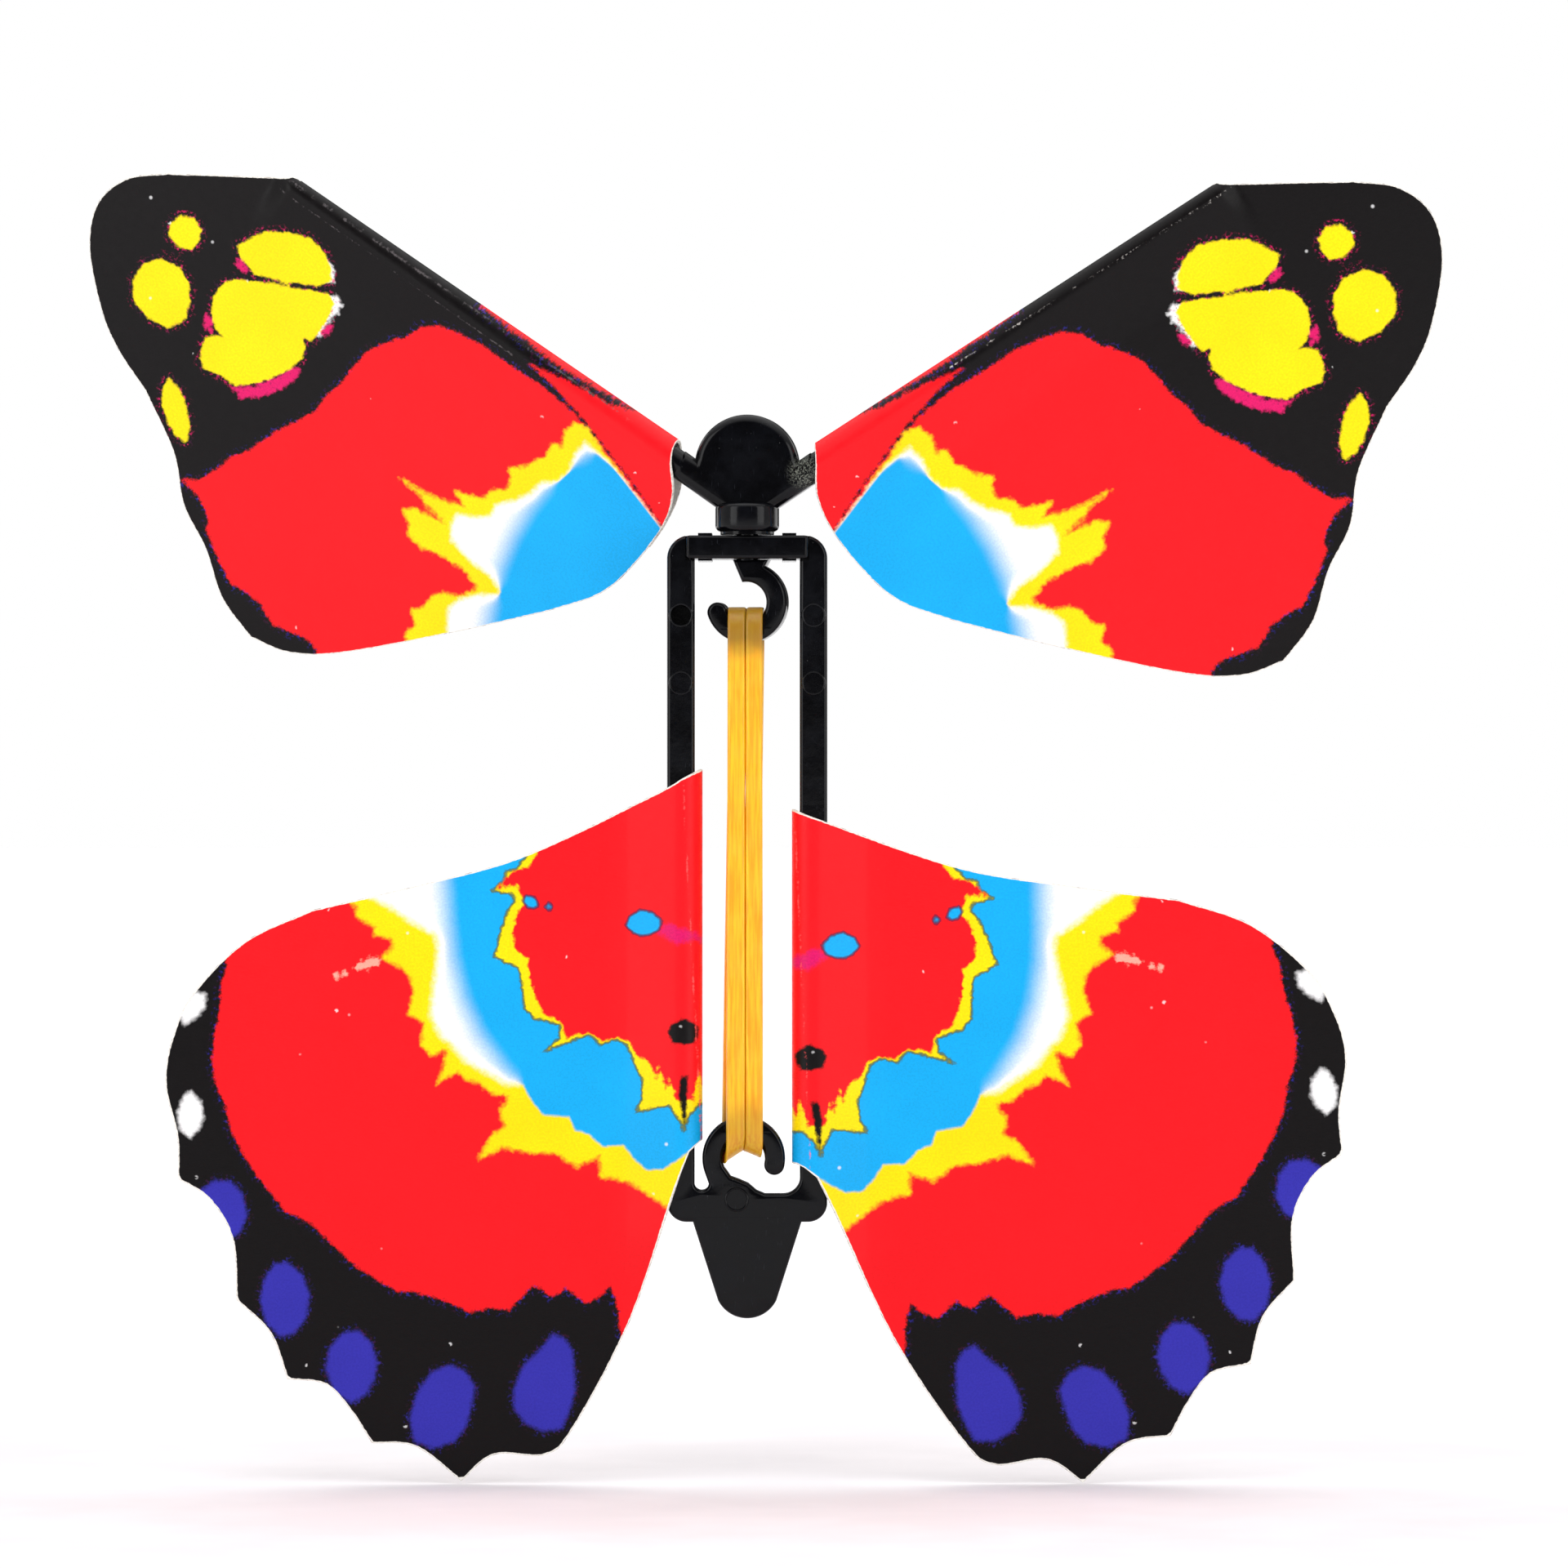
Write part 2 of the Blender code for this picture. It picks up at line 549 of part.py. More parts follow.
def upper_wing(name, side):
    axis = empty(f"{name}_upper_axis", ROTOR_AXIS, (0, 0, SPAR_ORIGIN), (0, -side * SPAR_ANGLE[name], 0))

    def at(along, d, y):
        return (side * along, y, -d)

    def row(along, bulge, sleeved):
        share = (along - SPAR_ROOT) / (SPAR_END - SPAR_ROOT)
        radius = ROOT_RADIUS + (END_RADIUS - ROOT_RADIUS) * share + GAP + CARD / 2
        section, fold = sleeve_section(radius, UPPER_THROAT, UPPER_THROAT + UPPER_CHORD, UPPER_CAMBER)
        return (along, section, fold, bulge, sleeved)

    rows = [row(along * MM, bulge, sleeved) for along, bulge, sleeved in UPPER_STATIONS]
    card = curved_card(f"{name}_upper_wing", rows, at)
    slide = side * UPPER_SLIDE[name]
    place(card, axis, (slide, 0, 0), (UPPER_TURN[name], 0, 0))
    trimmed(card, [(x, -z) for x, z in smooth_outline(UPPER_OUTLINE)], side)
    start, end = UPPER_TAPE
    low = (start, FLAP_RISE / 2 - TAPE / 2, -UPPER_THROAT - FLAP_LENGTH + TAPE_INSET)
    high = (end, FLAP_RISE / 2 + TAPE / 2, -UPPER_THROAT - TAPE_INSET)
    tape = adhesive_strip(f"{name}_upper_wing_tape", low, high, side)
    place(tape, axis, (slide, 0, 0), (UPPER_TURN[name], 0, 0))


def lower_wing(name, side):
    axis = empty(f"{name}_lower_axis", ROOT, (side * LEG_AXIS, 0, LOWER_TOP + LOWER_SLIDE[name]))
    reach = LOWER_THROAT + LOWER_SPAN
    section, fold = sleeve_section(SLEEVE_RADIUS, LOWER_THROAT, reach, LOWER_CAMBER)

    def at(height, d, y):
        return (side * d, y, height)

    rows = [(height * MM, section, fold, bulge, sleeved) for height, bulge, sleeved in LOWER_STATIONS]
    card = place(curved_card(f"{name}_lower_wing", rows, at), axis)
    turn = Matrix.Rotation(-LOWER_SET[name], 2)
    shift = Vector((LOWER_SHIFT[name], 0))
    trimmed(card, [tuple(turn @ (Vector(p) + shift)) for p in smooth_outline(LOWER_OUTLINE)], side)
    start, end = LOWER_TAPE
    low = (LOWER_THROAT + TAPE_INSET, FLAP_RISE / 2 - TAPE / 2, start)
    high = (LOWER_THROAT + FLAP_LENGTH - TAPE_INSET, FLAP_RISE / 2 + TAPE / 2, end)
    place(adhesive_strip(f"{name}_lower_wing_tape", low, high, side), axis)


def adhesive_strip(name, low, high, side):
    ends = sorted((side * low[0], side * high[0]))
    strip = box(name, (ends[0], *low[1:]), (ends[1], *high[1:]))
    return finish_piece(strip, ADHESIVE)


def band_rest(hook, edge, direction):
    """Height where a band lies on a hook's inner curve at an edge's x, above or below the hook."""
    x, z, inner, _ = hook
    return z + direction * (sqrt(inner**2 - (edge - x) ** 2) - BAND_SLACK)


def band_section(top_x, bottom_x):
    """One edge of a band: its closed inner and outer loops, as (x, y, z) points."""
    top = band_rest(DRIVE_HOOK, top_x, -1) + 2 * BAND_SLACK
    bottom = band_rest(FRAME_HOOK, bottom_x, 1)
    loops = []
    for grow in (0.0, BAND_THICKNESS):
        half, bend = HOOK_HALF + BAND_SLACK + grow, BAND_BEND + grow
        outline = [
            *arc((half - bend, top + grow - bend), bend, 0, 90, 5),
            *arc((-half + bend, top + grow - bend), bend, 90, 180, 5),
            *arc((-half + bend, bottom - grow + bend), bend, 180, 270, 5),
            *arc((half - bend, bottom - grow + bend), bend, 270, 360, 5),
        ]
        points = []
        for y, z in outline:
            height = (z - bottom) / (top - bottom)
            point = Vector((bottom_x + (top_x - bottom_x) * height, y, z))
            points.append(Matrix.Rotation(ROTOR_HEADING * height, 3, "Z") @ point)
        loops.append(points)
    return loops


def rubber_band(name, spans):
    """A flat band looped over both hooks: a loft, since its two edges rest on the hooks' curves."""
    (top_low, top_high), (bottom_low, bottom_high) = spans
    bm = bmesh.new()
    rings = []
    for share in (0.0, 0.5, 1.0):
        top_x = top_low + (top_high - top_low) * share
        bottom_x = bottom_low + (bottom_high - bottom_low) * share
        rings.append([[bm.verts.new(p) for p in loop] for loop in band_section(top_x, bottom_x)])
    (inner_a, outer_a), (inner_b, outer_b), (inner_c, outer_c) = rings
    around = [outer_a, outer_b, outer_c, inner_c, inner_b, inner_a, outer_a]
    for first, second in zip(around, around[1:]):
        for i in range(len(first)):
            j = (i + 1) % len(first)
            bm.faces.new((first[i], first[j], second[j], second[i]))
    return finish_piece(place(mesh_object(name, bm)), RUBBER)


bearing_frame()
bearing_bar()
rotor()
for side_name, side_sign in SIDES.items():
    upper_wing(side_name, side_sign)
    lower_wing(side_name, side_sign)
for band_name, edges in BAND_EDGES.items():
    rubber_band(band_name, edges)
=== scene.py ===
from math import acos, atan2, cos, pi, radians, sin, sqrt

import bmesh
import bpy
import numpy as np
from mathutils import Matrix, Vector
from mathutils.geometry import delaunay_2d_cdt


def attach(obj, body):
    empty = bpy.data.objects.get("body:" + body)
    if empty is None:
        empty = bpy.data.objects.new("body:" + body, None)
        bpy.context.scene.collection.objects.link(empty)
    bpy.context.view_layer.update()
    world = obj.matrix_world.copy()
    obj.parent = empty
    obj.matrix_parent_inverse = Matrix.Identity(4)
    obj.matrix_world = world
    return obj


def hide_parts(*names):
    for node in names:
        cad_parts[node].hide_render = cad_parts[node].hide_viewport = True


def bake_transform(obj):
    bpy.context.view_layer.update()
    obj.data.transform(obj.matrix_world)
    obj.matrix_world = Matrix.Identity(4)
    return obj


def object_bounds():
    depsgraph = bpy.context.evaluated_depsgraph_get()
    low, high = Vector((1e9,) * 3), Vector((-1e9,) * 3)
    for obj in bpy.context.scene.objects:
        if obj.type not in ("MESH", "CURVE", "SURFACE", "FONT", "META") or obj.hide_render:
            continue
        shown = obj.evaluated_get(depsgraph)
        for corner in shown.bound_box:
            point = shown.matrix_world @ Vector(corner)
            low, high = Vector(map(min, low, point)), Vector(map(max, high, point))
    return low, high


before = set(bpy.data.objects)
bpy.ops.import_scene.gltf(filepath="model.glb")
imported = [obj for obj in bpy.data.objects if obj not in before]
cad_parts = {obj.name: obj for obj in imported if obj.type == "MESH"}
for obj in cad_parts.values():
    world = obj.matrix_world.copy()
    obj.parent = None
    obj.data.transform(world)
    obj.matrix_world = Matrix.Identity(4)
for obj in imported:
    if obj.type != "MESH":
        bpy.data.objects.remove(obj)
CAD_LOW, CAD_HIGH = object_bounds()

# Lengths are in millimetres in the toy's own frame, where z = 0 is the level of the lower wings'
# tips and the rotor's axis is x = y = 0. TO_WORLD and the matrices made from it give metres.
MM = 0.001
GAP = 0.25
FRAME_HALF, TAIL_HALF, TAIL_FACE = 1.1, 1.3, 19.0
LEG_INNER, LEG_OUTER = 4.5, 6.86
LEG_AXIS = (LEG_INNER + LEG_OUTER) / 2
FRAME_TOP, TOP_CORNER = 81.15, 2.0
BASE_TOP, BASE_BOTTOM, BASE_CORNER = 24.75, 22.35, 1.65
TAIL_WIDTH, TAIL_TIP, TAIL_TIP_RADIUS = 9.3, 14.1, 2.8
FRAME_EDGE, PAD_EDGE, PAD_BACK = 0.35, 0.42, 0.45  # rounded edges, and how far back the tail's pad lies
LEG_MARKS, BASE_MARK, MARK_RADIUS = (74.3, 68.5), (-0.9, 24.3), 0.95  # heights, (x, z), radius
BAR_HALF_WIDTH, BAR_BOTTOM, BAR_TOP, BAR_REACH = 5.2, 79.1, 81.1, 2.15
SHAFT_RADIUS, SHAFT_END = 0.95, BAR_BOTTOM - 0.8
TAB_WIDTH, TAB_OFFSET, TAB_THICKNESS, LIP_DEPTH = 1.2, 3.6, 0.14, 0.35
FRAME_HOOK = (-0.3, 27.8, 1.8, 3.55)  # centre x, centre z, inner radius, outer radius
DRIVE_HOOK = (0.0, 75.4, 1.76, 3.5)
HOOK_HALF, HOOK_EDGE, HOOK_ROOT = 1.1, 0.38, (-1.15, 1.95)
DISC_CENTRE, DISC_RADIUS = 87.0, 4.5
ARM_HALF, ARM_EDGE, ARM_END = 1.2, 0.85, 7.4  # also the disc's: both are one outline
COLLAR_RADIUS, COLLAR_BOTTOM, COLLAR_TOP = 2.73, 81.2, 83.9
NECK_RADIUS, NECK_HEIGHT = 2.3, 0.25
SPAR_ORIGIN = 83.1
SPAR_ANGLE = {"left": radians(35.4), "right": radians(33.5)}
ROTOR_HEADING = radians(-8)
SPAR_ROOT, SPAR_END, ROOT_RADIUS, END_RADIUS = 9.0, 48.0, 1.15, 0.45
SPAR_START, SPAR_START_RADIUS = 6.2, 1.16  # inside the arm

CARD, FLAP_LENGTH, FLAP_RISE = 0.3, 3.2, 0.62
UPPER_TURN = {"left": radians(14), "right": radians(8)}
UPPER_SLIDE = {"left": 0.3, "right": 0.0}
UPPER_CAMBER, UPPER_CHORD, UPPER_THROAT = 2.0, 36.0, 4.6
# Along the spar: where the sleeve ends, where the card is flat again, and where the fold is measured
UPPER_SLEEVE_END, UPPER_FLAT, UPPER_MIDDLE = 48.3, 50.5, 28.0
LOWER_SET = {"left": radians(2.8), "right": radians(-2.8)}
LOWER_SLIDE = {"left": 1.1, "right": -1.1}
LOWER_FOLD = {"left": (0.986, 1.1), "right": (1.014, -1.1)}  # scale and shift of the print on the card
LOWER_TOP, LOWER_CAMBER, LOWER_SPAN = 60.0, 1.5, 45.0
LOWER_THROAT, SLEEVE_RADIUS, LOWER_SLEEVE_END = 5.4, 1.7, -32.9
CARD_EDGE, CARD_SPACING = 0.06, 0.3  # rounding of the card's edge, and the finest triangles

SIDES = {"left": -1, "right": 1}
TO_WORLD = Matrix.Translation((0, -TAIL_HALF * MM, -TAIL_FACE * MM)) @ Matrix.Scale(MM, 4)
TO_ROTOR = TO_WORLD @ Matrix.Rotation(ROTOR_HEADING, 4, "Z")

# Outlines as stretches that are each smooth and meet at corners.
# Upper: (along the spar, across it). Lower: (out from the leg, up).
UPPER_OUTLINE = (
    ((8.9, -3.0), (48.6, -3.0)),
    ((48.6, -3.0), (48.6, -1.0)),
    ((48.6, -1.0), (58.6, 5.4)),
    ((58.6, 5.4), (61.5, 8.0), (62.6, 11.4), (61.2, 15.2), (57.4, 19.3), (54.3, 21.4), (50.4, 23.0)),
    ((50.4, 23.0), (45.4, 26.2), (42.2, 29.7), (38.5, 31.9), (35.0, 34.8), (31.0, 36.3)),
    ((31.0, 36.3), (27.3, 35.3), (23.1, 32.2), (15.7, 24.5), (9.6, 17.7)),
    ((9.6, 17.7), (6.6, 13.6), (5.5, 9.6), (5.2, 5.2), (5.9, 2.0), (7.6, -0.6), (8.9, -3.0)),
)
LOWER_OUTLINE = (
    ((-3.0, 0.0), (-1.2, -0.8), (1.2, -2.0), (12.5, -6.6), (21.0, -8.6), (31.6, -10.5)),
    ((31.6, -10.5), (37.5, -12.9), (42.3, -17.2), (44.4, -21.2), (45.1, -24.9), (44.3, -29.3), (44.4, -33.0)),
    ((44.4, -33.0), (41.7, -34.9), (39.9, -38.4), (39.8, -43.6)),
    ((39.8, -43.6), (37.0, -46.6), (35.7, -50.6)),
    ((35.7, -50.6), (32.4, -51.2), (30.4, -53.4), (28.6, -56.4)),
    ((28.6, -56.4), (24.8, -56.9), (21.0, -60.0)),
    ((21.0, -60.0), (18.0, -57.9), (13.6, -58.1), (11.0, -55.9), (5.6, -46.9), (1.2, -36.0), (-0.2, -32.7)),
    ((-0.2, -32.7), (-1.5, -31.6), (-3.0, -31.3)),
    ((-3.0, -31.3), (-3.0, 0.0)),
)

# Printed areas of the upper wings, in the outline's coordinates.
UPPER_PRINT = {
    "red": (
        ((5, 5.6), (11.5, 2.9), (13.6, 2.3), (15.5, 1.7), (17, 1.3), (18.5, 1.2), (20, 1.0), (22, 1.1),
         (24, 1.2), (27, 1.2), (29, 1.6), (31, 2.1), (32.3, 3.2), (33, 4.8), (34.3, 6.5), (35.3, 8),
         (35.5, 9.5), (35.7, 11.5), (36.3, 13.5), (36.4, 15.2), (37.2, 16.8), (38.2, 18.5), (39, 20.2),
         (39.6, 21.8), (40.8, 23.5), (41.2, 25), (42.2, 27), (43.6, 27.9), (42.2, 28), (41, 28.4),
         (40, 29), (39.2, 30.4), (37.7, 31.5), (36.5, 32.3), (34.9, 33.2), (33.3, 33), (31.7, 33.1),
         (30.7, 33.7), (29.7, 34), (28, 33.6), (26.8, 33.2), (25.3, 33.5), (24, 36), (0, 20), (0, 5.6)),
        ((2, 5.75), (2, -14), (12.6, -14), (12.6, -1.5), (15, -0.95), (19, -0.6), (22.4, -0.05),
         (19.5, 0.35), (16.5, 1.05), (13.5, 2.1), (11.5, 2.75), (5, 5.45)),
        ((12.2, -14), (29, -14), (29, -1.2), (24, -1.15), (20, -1.1), (16, -1.35), (12.2, -1.7)),
    ),
    "blaze": (
        ((10.5, 3.5), (13, 2.7), (15.3, 1.7), (16.4, 2.1), (16.8, 3.4), (16.3, 4.8), (17.3, 5), (17.1, 6.5),
         (17.8, 7.3), (18.2, 8.3), (19.3, 9.1), (18.4, 10.3), (18.6, 11), (19.4, 11.6), (19.8, 12.8),
         (22.3, 13.8), (20.9, 14.4), (23, 15.2), (27, 15.8), (24.6, 15.9), (24, 16.3), (21.4, 16.7),
         (24.3, 17.2), (25.3, 18), (24, 18.8), (23.8, 19.6), (22, 19.9), (20.5, 19.4), (17.8, 19.2),
         (16, 19.9), (17, 21.5), (18.2, 22), (19, 22.8), (19.2, 24.3), (20, 25.2), (19, 26),
         (19.3, 27.3), (18, 29), (0, 20), (0, 5.8), (5, 5.7), (11, 3.6)),
    ),
    "glow": (
        ((14.7, 3.1), (15, 4.5), (14.6, 6.2), (15, 7.6), (16.2, 8.6), (16.5, 10), (17.3, 11.3),
         (18.5, 12.6), (18.4, 13.8), (19.5, 14.7), (21, 15.4), (20.9, 16.6), (20.2, 17.6), (17.6, 18.2),
         (15.7, 18.2), (14, 18.9), (14.3, 19.4), (15.6, 20.3), (16.8, 21.7), (17.2, 23), (16.6, 24.2),
         (15, 27), (0, 20), (0, 6), (5, 5.7), (11.8, 3.4)),
    ),
    "sky": (
        ((5, 5.65), (9.5, 3.9), (12, 3.5), (13.4, 3.4), (14.4, 5.5), (15, 8), (15.3, 11), (15.2, 14),
         (14.7, 17), (13.9, 19.4), (12.7, 22.5), (10, 26), (0, 20), (0, 5.9)),
    ),
    "spot": (
        ((41.2, 4.8), (41.9, 3.6), (43.1, 2.8), (44.7, 2.5), (46, 3), (47.3, 3.7), (48.6, 4.6),
         (49.3, 5.8), (50, 7.1), (49.3, 7.7), (48.4, 8), (47.3, 8.3), (46, 7.75), (44.7, 7.3), (43.4, 6.5),
         (42.2, 5.9)),
        ((40, 6.2), (40.8, 5.8), (42.3, 6.4), (43.8, 7.3), (45.3, 7.9), (47, 8.8), (48.6, 9.7),
         (49.4, 10.9), (49.4, 12.3), (48.8, 13.6), (47.9, 14.4), (46.9, 14.7), (47.8, 15.2), (48.2, 15.7),
         (47.9, 16.8), (47.6, 17.6), (46.9, 18.1), (45.3, 17.7), (43.6, 17.7), (42.5, 16.6), (41.3, 15.2),
         (40.3, 13.6), (39.9, 12.2), (40.1, 11), (40.9, 10.6), (39.9, 10.2), (39.8, 8.8), (39.7, 7.4)),
        ((53.1, 8.8), (53.4, 7.8), (54.5, 7.4), (55.7, 7.8), (56.1, 9), (55.6, 10), (54.3, 10.3),
         (53.3, 9.8)),
        ((50.5, 15.4), (51, 13.9), (51.9, 12.5), (53.3, 11.8), (55.2, 12.1), (56.3, 13.5), (56.4, 15.2),
         (55.3, 16.8), (53.5, 17.3), (51.5, 17)),
        ((44.8, 24.7), (45.3, 23.3), (46.5, 21.9), (47.8, 21), (49.1, 20.7), (49.1, 22), (48.4, 23.2),
         (47.2, 24.2), (45.9, 24.8)),
        ((4.6, 10.5), (5.3, 10.3), (5.6, 10.8), (5.3, 11.3), (4.6, 11.3)),
        ((5.4, 12.8), (6.6, 12.9), (6.9, 13.3), (6.4, 13.7), (5.4, 13.6)),
    ),
    "bloom": (
        ((39.4, 12.9), (40.2, 13.2), (41.1, 15), (42.4, 16.8), (43.9, 18), (42.8, 18.4), (41.3, 17.3),
         (40, 15.4), (39.4, 14)),
        ((48.4, 13.6), (49.2, 13.9), (48.9, 14.8), (48, 15)),
        ((48, 8.1), (49.3, 7.8), (49.4, 8.5), (48.3, 8.8)),
        ((39, 8), (39.7, 8.1), (39.6, 9.2), (38.9, 9)),
    ),
    "pearl": (
        ((39.3, 6), (40.2, 5.5), (41, 6.2), (40.7, 7.8), (40.3, 9.5), (39.5, 9.6), (39.5, 7.6)),
        ((41, 4.6), (41.8, 3.4), (42.6, 3.2), (42, 4.4), (41.5, 5.2)),
    ),
}

# Printed areas of the lower wings, in the outline's coordinates.
LOWER_PRINT = {
    "red": (
        ((39.6, -13.2), (39.2, -15), (39.8, -16.5), (40, -18.5), (40.6, -21), (40.9, -23.5),
         (40.5, -25.5), (39.9, -27), (39.6, -29), (38.6, -31), (37.8, -32.5), (36.6, -34.2),
         (35.2, -36.2), (33, -37.3), (31.5, -38.9), (30.7, -39.7), (29.5, -41), (27.8, -42.2),
         (25.8, -43.5), (24.3, -43.6), (22.8, -44.1), (21.4, -44.6), (19.6, -45.6), (17.9, -45.3),
         (16.1, -45.6), (14.7, -44.3), (13.8, -43.5), (12.3, -44.6), (11, -43.9), (9.5, -45.3),
         (8, -44.7), (7.2, -43.9), (6.9, -44.8), (6.6, -46), (6.5, -48), (6, -49.5), (4.1, -50),
         (-4.8, -36), (-4.8, 3), (39.6, 3)),
    ),
    "blaze": (
        ((30.2, -7), (28.9, -9.7), (27.6, -10.4), (27.8, -11.3), (26.1, -12.2), (26.3, -12.9),
         (24.8, -13.3), (24.6, -14), (25.8, -14.9), (24.2, -15.7), (23.3, -16.6), (23.1, -18),
         (23.6, -19.9), (22.3, -20.5), (22.6, -22.5), (21.8, -23.5), (20.4, -23), (20.7, -24.3),
         (21.4, -25.9), (19.5, -24.9), (18.9, -25.7), (17.7, -26), (16.7, -27), (15.1, -27.3),
         (16.1, -28.5), (15.7, -29.8), (16.9, -30.6), (18.2, -32.6), (15.9, -31.6), (13.7, -32.2),
         (11.5, -32.3), (9.6, -33.6), (7.6, -32.8), (7.6, -34.6), (6.1, -34.8), (4.7, -35.3),
         (3.4, -36.3), (2.1, -37.2), (-4.8, -40), (-4.8, 3), (29.7, 3)),
    ),
    "glow": (
        ((27.3, -7), (26.8, -9.3), (24.8, -10.5), (22.8, -12), (21.1, -13), (20.7, -13.8),
         (20.9, -15.8), (21.3, -18), (21.6, -20), (20.9, -21.8), (19.9, -22.6), (18.9, -24),
         (16.9, -25.2), (15.3, -26.2), (9, -26), (9, 3), (26.8, 3)),
    ),
    "sky": (
        ((19.2, -6), (19.3, -8.2), (19.2, -12), (19, -15), (18.3, -18.5), (17.1, -21.5), (15.3, -24.3),
         (14.1, -25.8), (13.3, -27.5), (12.3, -28.9), (10, -29.2), (9.5, -30.4), (8.5, -30.7),
         (7.2, -31.9), (5.4, -31.8), (4.7, -32.8), (3.5, -34), (2.1, -34), (1.1, -33.4), (-0.4, -32.4),
         (-4.8, -31.8), (-4.8, 3), (18.9, 3)),
    ),
    "ember": (
        ((12.2, -5), (12.4, -6.4), (13.7, -8), (14.7, -7.9), (14.5, -8.6), (15.9, -9.6), (14.2, -9.9),
         (13.8, -10.4), (14.6, -11.5), (15.2, -13), (15.9, -15.3), (14.7, -15.9), (13.9, -16.2),
         (13.6, -17.8), (13.5, -19.8), (12.7, -20.7), (11.4, -21.1), (10.5, -21.4), (10.5, -22.4),
         (12, -23.6), (9.5, -22.8), (8, -22.3), (7, -23.3), (5.7, -22.8), (4.7, -23.4), (4.1, -25),
         (3.5, -26.5), (3.7, -28.2), (4.3, -29.2), (2.3, -28.8), (1.2, -28.7), (0.5, -29.9),
         (0.2, -31), (-0.2, -29.8), (-1.1, -28.7), (-2.4, -28.8), (-4.8, -28.8), (-4.8, 3), (12, 3)),
    ),
    "core": (
        ((11.2, -5), (11.6, -6.4), (12.4, -7.6), (14.1, -8.2), (15.5, -9.5), (13.6, -9.2), (13, -10.6),
         (13.9, -12), (14.2, -13.3), (14.1, -14.6), (13, -15.6), (12.9, -17.2), (12.5, -18.8),
         (11.9, -20.3), (10.5, -21), (10, -22.5), (8, -22.1), (6.9, -23), (5.5, -22.6), (4.5, -23.1),
         (3.9, -24.2), (2.7, -25), (2.3, -26.5), (2, -25.2), (1.4, -27.7), (1.1, -26.2), (0.6, -28.3),
         (-0.7, -28.3), (-1.2, -26), (-1.6, -27.5), (-2.1, -25.8), (-4.8, -26), (-4.8, 3), (11, 3)),
    ),
    "blob": (
        ((1.4, -13.6), (1.1, -12.8), (1.9, -12.1), (2.9, -11.8), (3.9, -12.3), (4.3, -13.1),
         (3.8, -13.7), (3, -14.1), (2.1, -14)),
    ),
    "dots": (
        ((10.6, -11.2), (10.9, -10.8), (11.3, -11.2), (10.9, -11.6)),
        ((11.8, -11.1), (12.1, -10.3), (12.9, -10.1), (13.2, -10.6), (12.8, -11.2), (12.2, -11.3)),
    ),
    "streak": (
        ((-4.8, -14.8), (-2.1, -14.3), (-0.8, -13.7), (0.6, -13.1), (1.6, -13.8), (0.7, -14.4),
         (0.1, -14.9), (-1.3, -14.6), (-4.8, -15.4)),
    ),
    "dark": (
        ((-1.5, -22.2), (-1, -21.6), (-0.2, -21.2), (0.7, -21.7), (1.1, -22.5), (0.7, -23.4),
         (-1.1, -23.5)),
        ((-0.4, -26.2), (0.2, -26.1), (0.4, -27.5), (0.3, -29.5), (0.1, -30.6), (-0.2, -29),
         (-0.3, -27.5)),
    ),
    "pearl": (
        ((41.2, -17.2), (42.1, -17.1), (43.1, -17.9), (43.5, -19), (43.2, -19.8), (42.2, -19.3),
         (41.3, -18.3)),
        ((42.1, -26.5), (42.8, -25.6), (43.5, -25.9), (44.1, -27.2), (44, -28.8), (43.1, -29.5),
         (42.4, -28.9), (41.9, -27.8)),
    ),
    "fleck": (
        ((25.6, -15), (26.6, -14.8), (27.8, -15.2), (28.1, -15.8), (26.9, -15.8), (26.1, -15.5)),
        ((28.8, -15.8), (29.2, -15.9), (29.1, -16.3), (28.8, -16.2)),
        ((29.5, -16), (29.9, -16.1), (29.8, -16.6), (29.5, -16.5)),
    ),
    "oval": (
        ((38.5, -36.4), (38.8, -34.6), (39.8, -33.4), (41.2, -33.3), (43.1, -34.5), (42.2, -36.5),
         (40.2, -38.5), (39.2, -37.8)),
        ((33.4, -43.5), (33.9, -41.8), (35.1, -40.6), (36.3, -40.7), (37.3, -42), (37.7, -43.8),
         (37.3, -45.6), (36.2, -46.9), (34.9, -46.7), (33.8, -45.4)),
        ((27.8, -49.6), (28.2, -47.9), (29.3, -46.7), (30.7, -46.9), (31.9, -48.2), (32.3, -49.9),
         (31.7, -51.7), (30.3, -52.9), (28.9, -52.2), (28.1, -50.9)),
        ((19.4, -52), (20.2, -50.6), (21.5, -50), (23.1, -50.6), (24.4, -52.2), (25.2, -54.4),
         (24.9, -56.4), (23.3, -57.1), (21.4, -56.6), (20.3, -55.3), (19.8, -53.6)),
        ((10.7, -51), (10.8, -49.2), (11.5, -48.2), (12.4, -47.8), (13.6, -49.1), (15.1, -50.4),
         (16, -52.3), (16.1, -54), (15.1, -55.4), (13.6, -56.1), (12, -55.9), (11.2, -54.2),
         (10.7, -52.7)),
    ),
}

# Folds and marks where the print is creased, in the outlines' coordinates.
CREASES = {
    "left_upper": (((12, -0.9), (30, -0.8), (50, -0.55)), ((24, 0.25), (50, 0.45))),
    "right_upper": (((21, -0.55), (36, -0.2), (50, 0.1)),),
    "left_lower": (((-1.25, 0.5), (-1.2, -33)),),
    "right_lower": (((-0.45, 0.5), (-0.7, -33)),),
}

BAND_THICKNESS, BAND_SLACK, BAND_BEND = 1.1, 0.15, 0.8
BAND_EDGES = {
    "left_rubber_band": ((-1.55, -0.06), (-2.0, -0.43)),
    "right_rubber_band": ((-0.03, 1.4), (-0.41, 1.1)),
}
BAND_TURN = (radians(7), radians(-3))  # at the bottom and at the top
BAND_TOP = 75.0  # the highest edge of the bands, on the drive hook


